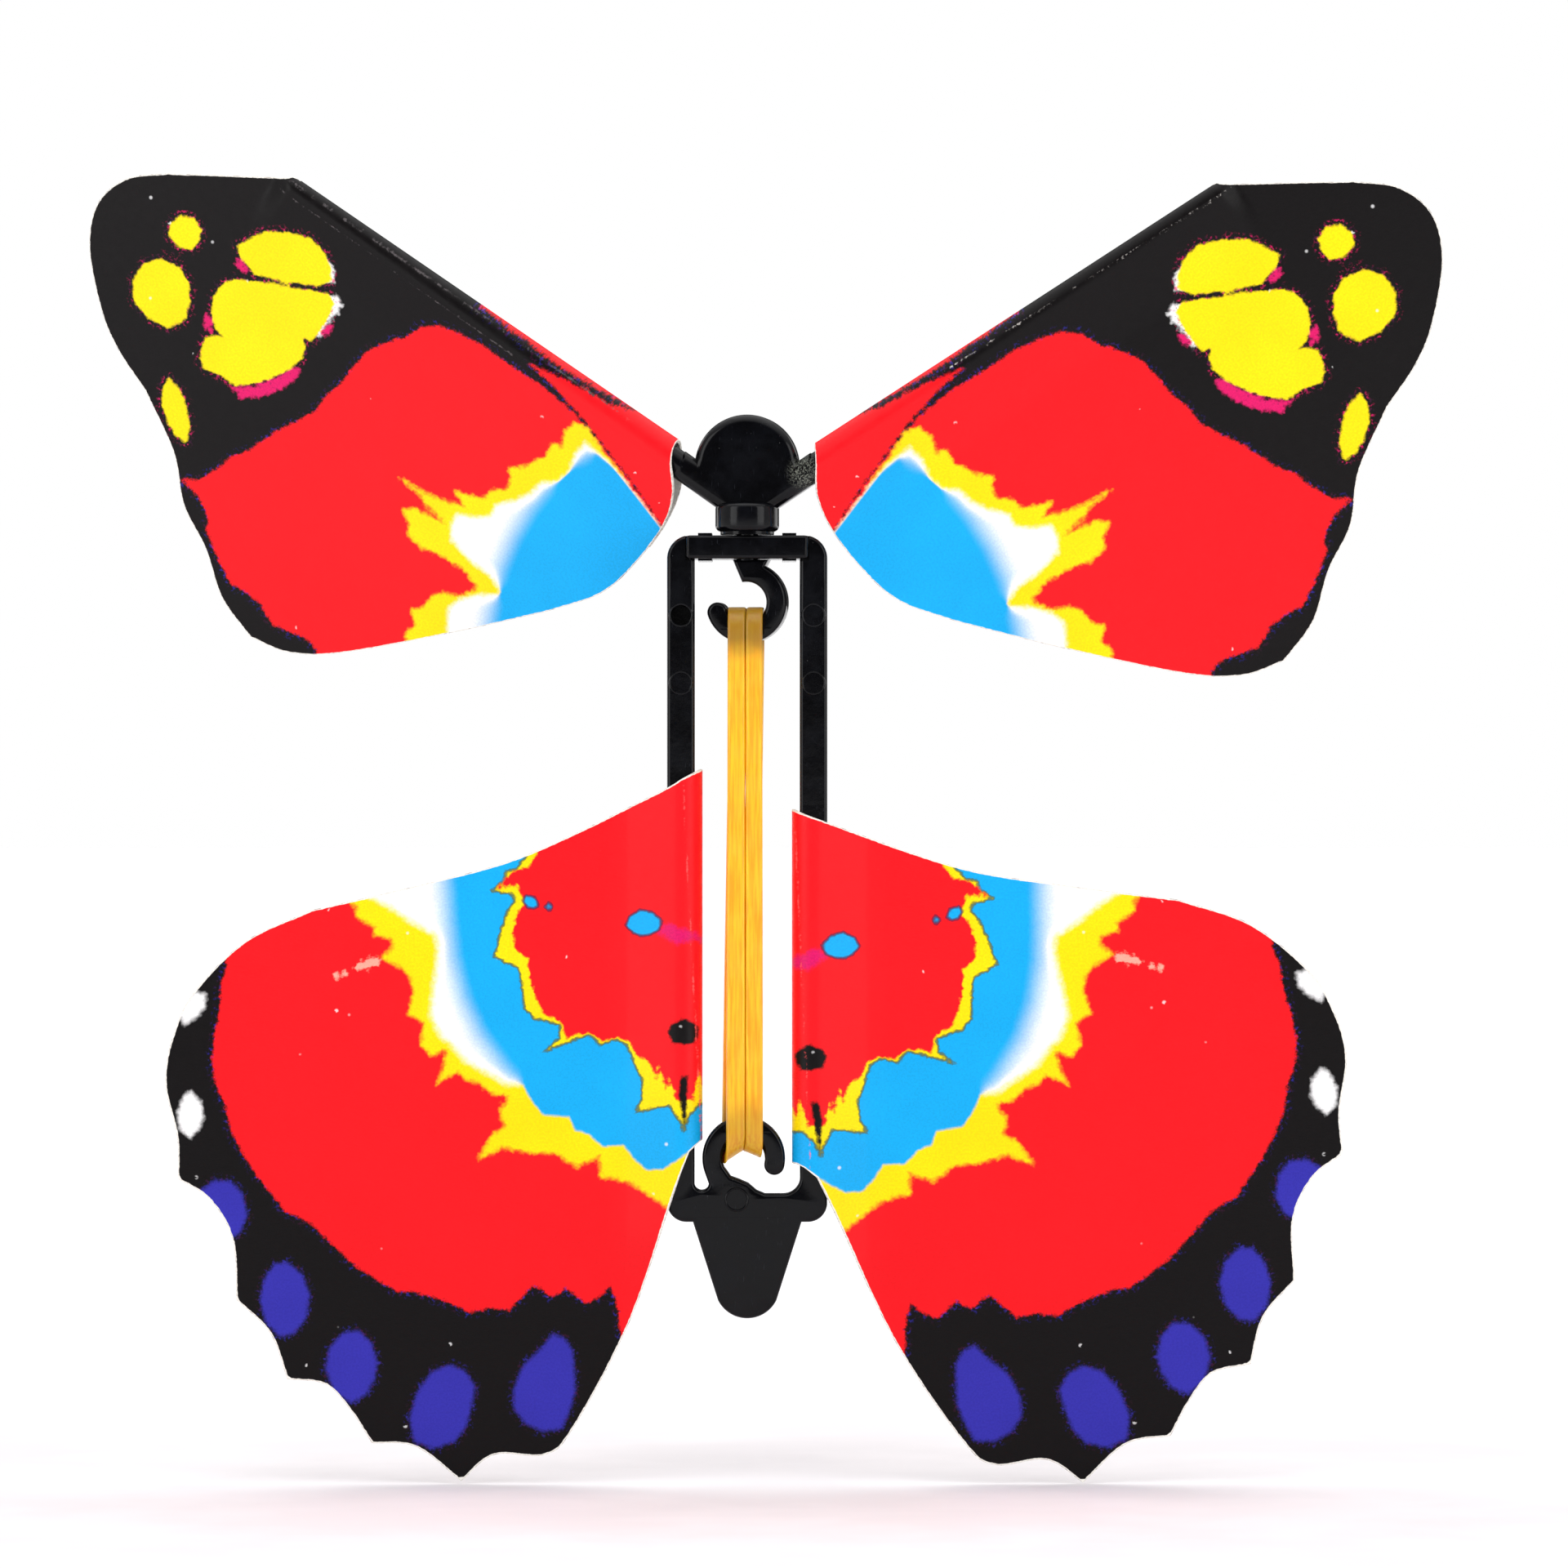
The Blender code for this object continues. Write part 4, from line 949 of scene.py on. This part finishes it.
def bearing_frame(material):
    low, high = (-BAR_HALF_WIDTH, FRAME_HALF / 2, BAR_BOTTOM), (BAR_HALF_WIDTH, BAR_REACH, FRAME_TOP)
    width = BAR_HALF_WIDTH + 0.1
    marks = [(side * LEG_AXIS, z) for side in (-1, 1) for z in LEG_MARKS] + [BASE_MARK]
    pad = flat_moulding([tail_outline()], TAIL_HALF - PAD_BACK, PAD_EDGE)
    pad.data.transform(Matrix.Translation((0, PAD_BACK, 0)))
    mesh = combined(
        flat_moulding([frame_outline(), window_outline()], FRAME_HALF, FRAME_EDGE),
        ("UNION", pad),
        ("DIFFERENCE", block((-width, -3, BAR_BOTTOM - 0.1), (width, GAP / 2, FRAME_TOP + 2))),
        ("UNION", block(low, high, 0.2)),
        ("DIFFERENCE", shaft_clearance()),
        *(("DIFFERENCE", ring_mark(x, z, MARK_RADIUS, FRAME_HALF)) for x, z in marks),
    )
    finish_moulding("bearing_frame_moulding", mesh, TO_WORLD, "root", "frame", material)


def tab(x, upper):
    low_x, high_x = x - TAB_WIDTH / 2, x + TAB_WIDTH / 2
    low = FRAME_TOP + 0.02 if upper else BAR_BOTTOM - 0.16
    high, rear = low + TAB_THICKNESS, BAR_REACH + 0.1
    strap = block((low_x, -1.6, low), (high_x, rear + 0.3, high), 0.03)
    ends = (low - 0.3, high) if upper else (low, high + 0.3)
    lip = block((low_x, rear, ends[0]), (high_x, rear + LIP_DEPTH, ends[1]), 0.05)
    ends = (BAR_TOP - 0.5, high) if upper else (low, BAR_BOTTOM + 0.5)
    root = block((low_x, -1.7, ends[0]), (high_x, -0.9, ends[1]))
    return [("UNION", strap), ("UNION", lip), ("UNION", root)]


def bearing_bar(material):
    low, high = (-BAR_HALF_WIDTH, -BAR_REACH, BAR_BOTTOM), (BAR_HALF_WIDTH, -GAP / 2, BAR_TOP)
    tabs = [tab(side * TAB_OFFSET, upper) for side in (-1, 1) for upper in (True, False)]
    mesh = combined(block(low, high, 0.3), *sum(tabs, []), ("DIFFERENCE", shaft_clearance()))
    finish_moulding("bearing_bar_moulding", mesh, TO_WORLD, "root", "bearing_bar", material)


def head_outline():
    """The disc and both arms as one outline, anticlockwise."""
    points = []
    for name, side in (("right", 1), ("left", -1)):
        angle = SPAR_ANGLE[name]
        along, across = Vector((side * cos(angle), sin(angle))), Vector((-side * sin(angle), cos(angle)))
        origin = Vector((0, SPAR_ORIGIN))
        corner = origin + along * ARM_END
        upper, lower = corner + across * ARM_HALF, corner - across * ARM_HALF
        start = origin + across * ARM_HALF
        offset = start - Vector((0, DISC_CENTRE))
        reach = -offset.dot(along) + sqrt(offset.dot(along) ** 2 - offset.length_squared + DISC_RADIUS**2)
        meet = start + along * reach
        turn = atan2(meet.y - DISC_CENTRE, meet.x) * 180 / pi
        points.append((lower, upper, turn % 360))
    (low_right, up_right, start), (low_left, up_left, end_turn) = points
    bottom = (0, SPAR_ORIGIN - ARM_HALF / cos(SPAR_ANGLE["right"]))
    disc = arc((0, DISC_CENTRE), DISC_RADIUS, start if start < 180 else start - 360, end_turn, 72)
    return [tuple(p) for p in (low_right, up_right, *disc, up_left, low_left, bottom)]


def drive_hook_outline():
    x, z, inner, outer = DRIVE_HOOK
    return [
        (HOOK_ROOT[1], BAR_BOTTOM - 0.05),
        (HOOK_ROOT[0], BAR_BOTTOM - 0.05),
        *arc((x, z), inner, 101, -161, 56),
        *hook_tip(DRIVE_HOOK, 199, 19, 199)[1:],
        *arc((x, z), outer, 199, 422, 54)[1:],
    ]


def rotor(material):
    neck_top = COLLAR_BOTTOM + NECK_HEIGHT
    collar = rounded_profile(COLLAR_RADIUS, COLLAR_TOP, neck_top, 0.5)[:-1]
    neck = [(NECK_RADIUS, neck_top), (NECK_RADIUS, COLLAR_BOTTOM), (SHAFT_RADIUS, COLLAR_BOTTOM)]
    shaft = [(SHAFT_RADIUS, SHAFT_END), (0, SHAFT_END)]
    changes = [("UNION", flat_moulding([head_outline()], ARM_HALF, ARM_EDGE, 7))]
    for name, side in SIDES.items():
        angle = SPAR_ANGLE[name]
        start, end = (
            (side * reach * cos(angle), 0, SPAR_ORIGIN + reach * sin(angle))
            for reach in (SPAR_START, SPAR_END)
        )
        changes.append(("UNION", rod(start, end, SPAR_START_RADIUS, END_RADIUS)))
    changes.append(("UNION", flat_moulding([drive_hook_outline()], HOOK_HALF, HOOK_EDGE)))
    mesh = combined(turned([*collar, *neck, *shaft]), *changes)
    finish_moulding("rotor_moulding", mesh, TO_ROTOR, "rotor", "rotor", material)


# ---------------------------------------------------------------- rubber bands


def band_loop(share, grow, spans, runs=70, bends=8):
    """One closed line along a band: share goes across its width, grow out through its thickness."""
    (top_low, top_high), (bottom_low, bottom_high) = spans
    top_x, bottom_x = top_low + (top_high - top_low) * share, bottom_low + (bottom_high - bottom_low) * share
    top = DRIVE_HOOK[1] - sqrt(DRIVE_HOOK[2] ** 2 - (top_x - DRIVE_HOOK[0]) ** 2) + 3 * BAND_SLACK
    bottom = FRAME_HOOK[1] + sqrt(FRAME_HOOK[2] ** 2 - (bottom_x - FRAME_HOOK[0]) ** 2) - BAND_SLACK
    half, bend = HOOK_HALF + BAND_SLACK + grow, BAND_BEND + grow
    high = top + (BAND_TOP - top) * grow / BAND_THICKNESS
    corners = [
        arc((half - bend, high - bend), bend, 0, 90, bends),
        arc((-half + bend, high - bend), bend, 90, 180, bends),
        arc((-half + bend, bottom - grow + bend), bend, 180, 270, bends),
        arc((half - bend, bottom - grow + bend), bend, 270, 360, bends),
    ]
    outline = []
    for corner, following in zip(corners, corners[1:] + corners[:1]):
        outline += corner
        (y0, z0), (y1, z1) = corner[-1], following[0]
        steps = runs if abs(z1 - z0) > 5 else 2
        outline += [(y0 + (y1 - y0) * i / steps, z0 + (z1 - z0) * i / steps) for i in range(1, steps)]
    points = []
    for y, z in outline:
        height = (z - bottom) / (top - bottom)
        x = bottom_x + (top_x - bottom_x) * height
        turn = BAND_TURN[0] + (BAND_TURN[1] - BAND_TURN[0]) * height
        points.append(Matrix.Rotation(turn, 3, "Z") @ Vector((x, y, z)))
    return points


def rubber_band(name, spans, material):
    """A flat band with soft edges, looped over both hooks."""
    width = abs(spans[0][1] - spans[0][0])
    corner = 0.24
    wide, thick = width - corner, BAND_THICKNESS - corner
    profile = []
    for i, centre in enumerate(((wide, thick), (corner, thick), (corner, corner), (wide, corner))):
        profile += arc(centre, corner, 90 * i, 90 * i + 90, 4)
    bm = bmesh.new()
    loops = [[bm.verts.new(p) for p in band_loop(x / width, grow, spans)] for x, grow in profile]
    for first, second in zip(loops, loops[1:] + loops[:1]):
        for i in range(len(first)):
            j = (i + 1) % len(first)
            bm.faces.new((first[i], first[j], second[j], second[i]))
    obj = mesh_object(name + "_loop", bm)
    places = np.array([v.co for v in obj.data.vertices])
    store(obj.data, "place", places, "FLOAT_VECTOR")
    obj.data.transform(TO_WORLD)
    obj.data.shade_smooth()
    obj.data.materials.append(material)
    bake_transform(obj)
    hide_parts(name)


# ---------------------------------------------------------------- materials

INK_BLACK, INK_RED, INK_YELLOW = colour(12, 9, 10), colour(248, 20, 30), colour(253, 226, 8)
INK_BLUE, INK_WHITE, INK_VIOLET = colour(18, 172, 241), colour(250, 250, 250), colour(52, 48, 168)
INK_MAGENTA, INK_GREEN, INK_PLUM = colour(222, 22, 104), colour(66, 92, 40), colour(70, 18, 58)
UPPER_LAYERS = (  # area, how ragged its edge is, how soft it is, colour
    ("red", 0.35, 0.17, INK_RED),
    ("blaze", 0.45, 0.26, INK_YELLOW),
    ("glow", 0.35, 0.35, INK_WHITE),
    ("pearl", 0.5, 0.25, INK_WHITE),
    ("bloom", 0.6, 0.2, INK_MAGENTA),
    ("spot", 0.3, 0.14, INK_YELLOW),
)
LOWER_LAYERS = (
    ("red", 0.35, 0.17, INK_RED),
    ("blaze", 0.4, 0.28, INK_YELLOW),
    ("glow", 0.4, 0.5, INK_WHITE),
    ("sky", 0.15, None, INK_BLUE),  # as soft as the glow under it is wide
    ("ember", 0.3, 0.09, INK_YELLOW),
    ("core", 0.4, 0.14, INK_RED),
    ("streak", 0.5, 0.3, INK_MAGENTA),
    ("blob", 0.15, 0.07, INK_BLUE),
    ("dots", 0.1, 0.07, INK_BLUE),
    ("dark", 0.3, 0.15, INK_BLACK),
    ("pearl", 0.3, 0.3, INK_WHITE),
    ("fleck", 0.6, 0.15, colour(252, 170, 150)),
    ("oval", 0.15, 0.28, INK_VIOLET),
)


def sky_share(m, field, width):
    """How blue the sky's area is, with an edge that is as soft as the width says."""
    return m.step(field, m.math("MULTIPLY", width, -2.2), m.math("MULTIPLY", width, 0.6))


def halo(m, sheet, ink, field, strength, second_tint):
    """Patches of darker ink round the edge of an area."""
    patches = m.both(m.step(field, -0.75, -0.1), m.step(m.noise(sheet, 3.2, 2.0), 0.5, 0.66))
    tint = m.mix(m.step(m.noise(sheet, 1.3, 1.0), 0.42, 0.6), INK_PLUM, second_tint)
    return m.mix(m.both(patches, strength), ink, tint)


def printed_card(name, layers, crease_colour, wear):
    """Ink on coated card: each printed area is laid over the last along its stored edge."""
    m = Nodes(bpy.data.materials.new(name))
    sheet = m.attribute("sheet", "Vector")
    ragged = m.math("SUBTRACT", m.noise(sheet, 1.7, 3.0, 0.6), 0.5)
    speckle = m.noise(sheet, 5.5, 2.0, 0.6)
    ink = INK_BLACK
    glow = m.attribute("glow")
    for region, jag, soft, paint in layers:
        field = m.math("MULTIPLY_ADD", ragged, jag * 2, m.attribute(region))
        if region in ("red", "oval"):
            field = m.shifted(field, speckle, 0.35)
            ink = halo(m, sheet, ink, field, 0.65, INK_VIOLET)
        if region == "spot":
            ink = halo(m, sheet, ink, field, 0.8, INK_MAGENTA)
        if soft is None:
            share = sky_share(m, field, m.step(glow, -0.3, 1.2, 0.12, 1.1))
        else:
            share = m.step(field, -soft, soft)
        ink = m.mix(share, ink, paint)
        if region in ("ember", "blob", "dots"):
            line = m.step(m.math("ABSOLUTE", field), 0.03, 0.2, 0.8, 0.0)
            ink = m.mix(line, ink, INK_GREEN if region == "ember" else INK_PLUM)
    if layers is UPPER_LAYERS:
        share = sky_share(m, m.attribute("sky"), m.step(glow, -0.1, 1.3, 0.1, 1.1))
        ink = m.mix(m.both(share, m.step(glow, -0.1, 0.1)), ink, INK_BLUE)
    dots = m.step(speckle, 0.36, 0.64, 0.93, 1.05)
    cloud = m.step(m.noise(sheet, 0.16, 2.0), 0.3, 0.7, 0.97, 1.03)
    ink = m.add("ShaderNodeVectorMath", 0, {0: ink, "Scale": m.both(dots, cloud)}, operation="SCALE")
    crack = m.shifted(m.attribute("crease"), m.noise(sheet, 4.0, 3.0), 0.34)
    crack = m.both(m.step(crack, 0.01, 0.11, 1.0, 0.0), m.step(m.noise(sheet, 1.1, 2.0), 0.4, 0.6))
    ink = m.mix(m.both(crack, 0.85), ink, crease_colour)
    rim = m.shifted(m.attribute("rim"), m.noise(sheet, 2.4, 3.0), 0.14)
    chipped = m.step(rim, wear, wear + 0.06, 1.0, 0.0)
    ink = m.mix(chipped, ink, colour(243, 240, 233))
    nick = m.both(m.step(m.voronoi(sheet, 0.3), 0.03, 0.07, 1.0, 0.0), m.step(m.noise(sheet, 0.9), 0.5, 0.55))
    ink = m.mix(m.both(nick, 0.6), ink, INK_WHITE)
    fibres = m.noise(m.stretch(sheet, (1.0, 2.2, 1.0)), 2.6, 4.0)
    relief = m.math("ADD", m.both(fibres, 0.5), m.both(crack, -0.8))
    gloss = m.step(m.noise(sheet, 1.2, 3.0), 0.3, 0.7, 0.34, 0.46)
    m.set(Base_Color=ink, Roughness=m.math("MULTIPLY_ADD", chipped, 0.3, gloss), Specular_IOR_Level=0.13)
    m.set(Coat_Weight=0.03, Coat_Roughness=0.22, Normal=m.bump(relief, 0.03))
    return m.owner


def card_back():
    """The unprinted side: white board, with fibres and a faint grey cast from the ink behind it."""
    m = Nodes(bpy.data.materials.new("card_back"))
    sheet = m.attribute("sheet", "Vector")
    fibres = m.noise(m.stretch(sheet, (1.0, 2.5, 1.0)), 2.2, 5.0, 0.65)
    cloud = m.noise(sheet, 0.12, 3.0)
    paper = m.mix(m.step(fibres, 0.35, 0.7), colour(214, 211, 204), colour(230, 228, 222))
    shadow = m.step(m.attribute("red"), -0.8, 0.8, 0.5, 0.0)
    paper = m.mix(m.both(shadow, m.step(cloud, 0.3, 0.7, 0.2, 0.5)), paper, colour(188, 187, 190))
    flecks = m.step(m.voronoi(sheet, 1.1), 0.02, 0.09, 0.5, 0.0)
    paper = m.mix(flecks, paper, colour(172, 165, 152))
    m.set(Base_Color=paper, Roughness=m.step(fibres, 0.3, 0.7, 0.55, 0.72), Normal=m.bump(fibres, 0.04))
    return m.owner


def card_edge():
    m = Nodes(bpy.data.materials.new("card_edge"))
    sheet = m.attribute("sheet", "Vector")
    grain = m.noise(sheet, 4.0, 4.0, 0.7)
    paper = m.mix(m.step(grain, 0.35, 0.65), colour(214, 208, 196), colour(246, 243, 236))
    ink = m.step(m.noise(sheet, 1.1, 2.0), 0.56, 0.66)
    m.set(Base_Color=m.mix(m.both(ink, 0.5), paper, colour(110, 92, 88)))
    m.set(Roughness=m.step(grain, 0.3, 0.7, 0.7, 0.85), Normal=m.bump(grain, 0.05))
    return m.owner


def black_plastic():
    """Glossy moulded plastic with flow marks, hair scratches and a little dust."""
    m = Nodes(bpy.data.materials.new("black_plastic_gloss"))
    place = m.attribute("place", "Vector")
    cloud = m.noise(place, 0.45, 4.0, 0.6)
    scratch = m.noise(m.stretch(place, (3.0, 3.0, 0.25)), 4.0, 2.0, 0.4)
    scratch = m.step(scratch, 0.7, 0.76)
    dust = m.both(m.step(m.voronoi(place, 1.9), 0.03, 0.08, 1.0, 0.0), m.step(m.noise(place, 0.8), 0.52, 0.6))
    centre = {0: place, 1: (5.2, -1.2, 86.5)}
    scuff = m.add("ShaderNodeVectorMath", 1, centre, operation="DISTANCE")
    scuff = m.step(scuff, 0.6, 1.9, 1.0, 0.0)
    grit = m.step(m.noise(place, 6.0, 4.0, 0.75), 0.45, 0.62)
    scuff = m.both(scuff, grit)
    base = m.mix(m.step(cloud, 0.35, 0.7), colour(5, 5, 7), colour(10, 11, 15))
    base = m.mix(m.both(scratch, 0.18), base, colour(70, 73, 82))
    base = m.mix(m.both(dust, 0.35), base, colour(140, 142, 140))
    base = m.mix(m.both(scuff, 0.8), base, colour(125, 128, 118))
    rough = m.step(cloud, 0.3, 0.72, 0.1, 0.16)
    rough = m.math("MULTIPLY_ADD", scuff, 0.35, rough)
    wave = m.noise(place, 0.7, 2.0)
    relief = m.math("ADD", m.both(wave, 0.25), m.both(m.noise(place, 7.0, 2.0), 0.04))
    m.set(Base_Color=base, Roughness=rough, Normal=m.bump(relief, 0.04), IOR=1.45)
    m.set(Specular_IOR_Level=0.2)
    return m.owner


def amber_rubber():
    """Cut rubber: clear amber with long streaks, a paler dusting of powder in patches and painted shade where
    it wraps round the hooks.
    """
    m = Nodes(bpy.data.materials.new("amber_rubber_band"))
    place = m.attribute("place", "Vector")
    streak = m.noise(m.stretch(place, (2.4, 2.4, 0.1)), 2.0, 3.0, 0.6)
    cloud = m.noise(place, 0.5, 3.0)
    height = m.part(place, 2)
    tone = m.mix(m.step(streak, 0.35, 0.65), colour(244, 164, 8), colour(255, 200, 26))
    tone = m.mix(m.both(m.step(cloud, 0.4, 0.7), 0.25), tone, colour(250, 200, 50))
    # Painted shade: the band turns darker where it wraps round the drive hook at the top and, half as much,
    # round the frame hook at the bottom.
    top = m.step(m.math("MULTIPLY_ADD", cloud, 1.5, height), 71.0, 73.2)
    low = m.step(m.math("MULTIPLY_ADD", cloud, 1.5, height), 34.5, 31.5)
    tone = m.mix(m.both(m.math("MAXIMUM", top, m.both(low, 0.5)), 0.85), tone, colour(140, 104, 20))
    relief = m.math("ADD", m.both(streak, 0.25), m.both(m.noise(place, 5.0, 3.0), 0.12))
    m.set(Base_Color=tone, Roughness=m.step(cloud, 0.3, 0.7, 0.32, 0.46), Normal=m.bump(relief, 0.06))
    m.set(Subsurface_Weight=0.35, Subsurface_Scale=0.0012, Subsurface_Radius=(1.0, 0.5, 0.08), IOR=1.5)
    return m.owner


def adhesive():
    """Double-sided tape: off-white with trapped bubbles and fibres."""
    m = Nodes(bpy.data.materials.new("adhesive_strip_foam"))
    place = m.millimetres()
    grain = m.noise(place, 2.5, 4.0, 0.65)
    bubbles = m.step(m.voronoi(place, 1.6), 0.1, 0.3, 1.0, 0.0)
    tone = m.mix(m.step(grain, 0.3, 0.7), colour(214, 206, 184), colour(240, 235, 218))
    tone = m.mix(m.both(bubbles, 0.4), tone, colour(190, 180, 150))
    m.set(Base_Color=tone, Roughness=m.step(grain, 0.3, 0.7, 0.4, 0.6))
    m.set(Normal=m.bump(m.math("SUBTRACT", grain, m.both(bubbles, 0.5)), 0.04))
    return m.owner


# ---------------------------------------------------------------- studio


def light(name, place, aim, size, power, tint=(1, 1, 1)):
    data = bpy.data.lights.new(name, "AREA")
    data.shape, data.size, data.size_y = "RECTANGLE", *size
    data.energy, data.color = power, tint
    obj = linked(name, data)
    obj.location = place
    obj.rotation_euler = (Vector(aim) - Vector(place)).to_track_quat("-Z", "Y").to_euler()


def studio():
    floor_mesh = bpy.data.meshes.new("floor")
    level, reach = CAD_LOW.z - 0.0001, 6.0
    corners = [(x, y, level) for x, y in ((-reach, -reach), (reach, -reach), (reach, reach), (-reach, reach))]
    floor_mesh.from_pydata(corners, [], [(0, 1, 2, 3)])
    floor = linked("floor", floor_mesh)
    m = Nodes(bpy.data.materials.new("floor_paper"))
    place = m.millimetres()
    # Painted shade: the floor is greyer within about 90 mm of the toy and turns white by 420 mm.
    tone = m.mix(m.step(m.noise(place, 0.05, 3.0), 0.35, 0.65), colour(229, 225, 228), colour(235, 231, 234))
    beyond_painted_shade = m.step(m.add("ShaderNodeVectorMath", 1, {0: place}, operation="LENGTH"), 90.0, 420.0)
    tone = m.mix(beyond_painted_shade, tone, colour(255, 254, 255))
    m.set(Base_Color=tone, Roughness=0.6)
    floor_mesh.materials.append(m.owner)

    world = bpy.data.worlds.new("studio")
    w = Nodes(world)
    direction = w.add("ShaderNodeTexCoord", "Generated")
    depth = w.math("ABSOLUTE", w.part(direction, "Y"))
    sides = w.step(depth, 0.45, 0.93, 0.8, 0.08)
    top = w.step(w.part(direction, "Z"), 0.5, 0.9)
    lit = w.add("ShaderNodeMix", 0, {0: top, 2: sides, 3: 1.8})
    seen = w.add("ShaderNodeLightPath", "Is Camera Ray")
    background = w.tree.nodes["Background"].inputs
    w.put(background["Strength"], w.add("ShaderNodeMix", 0, {0: seen, 2: lit, 3: 1.0}))
    w.put(background["Color"], (1, 1, 1, 1))
    bpy.context.scene.world = world

    middle = (0, 0, 0.04)
    for side in (-1, 1):
        light(f"softbox_{side}", (side * 0.58, -0.48, 0.25), middle, (0.35, 0.5), 1.5)
        light(f"back_softbox_{side}", (side * 0.58, 0.5, 0.25), middle, (0.35, 0.5), 0.9)
    light("overhead", (0, -0.05, 0.8), middle, (0.6, 0.6), 0.75)


def camera():
    data = bpy.data.cameras.new("camera")
    data.lens, data.sensor_width = 160.7, 36.0
    data.clip_start, data.clip_end = 0.01, 50
    obj = linked("camera", data)
    obj.location = (3.15 * MM, -0.6 - TAIL_HALF * MM, (59.85 - TAIL_FACE) * MM)
    obj.rotation_euler = (pi / 2, 0, 0)
    bpy.context.scene.camera = obj
    bpy.context.scene.view_settings.view_transform = "Standard"


plastic, rubber, tape = black_plastic(), amber_rubber(), adhesive()
bearing_frame(plastic)
bearing_bar(plastic)
rotor(plastic)
back, edge = card_back(), card_edge()
grey_crease, white_crease = colour(92, 86, 88), colour(214, 208, 202)
upper_prints = {
    "left": printed_card("upper_print_left", UPPER_LAYERS, grey_crease, 0.06),
    "right": printed_card("upper_print_right", UPPER_LAYERS, white_crease, 0.06),
}
lower_print = printed_card("lower_print", LOWER_LAYERS, colour(255, 92, 92), 0.1)
for side_name, side_sign in SIDES.items():
    for card, print_material in (
        (upper_card(side_name, side_sign), upper_prints[side_name]),
        (lower_card(side_name, side_sign), lower_print),
    ):
        for material in (print_material, back, edge):
            card.data.materials.append(material)
for band_name, band_spans in BAND_EDGES.items():
    rubber_band(band_name, band_spans, rubber)
for node_name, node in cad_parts.items():
    if node_name.endswith("_tape"):
        node.data.materials.clear()
        node.data.materials.append(tape)
studio()
camera()
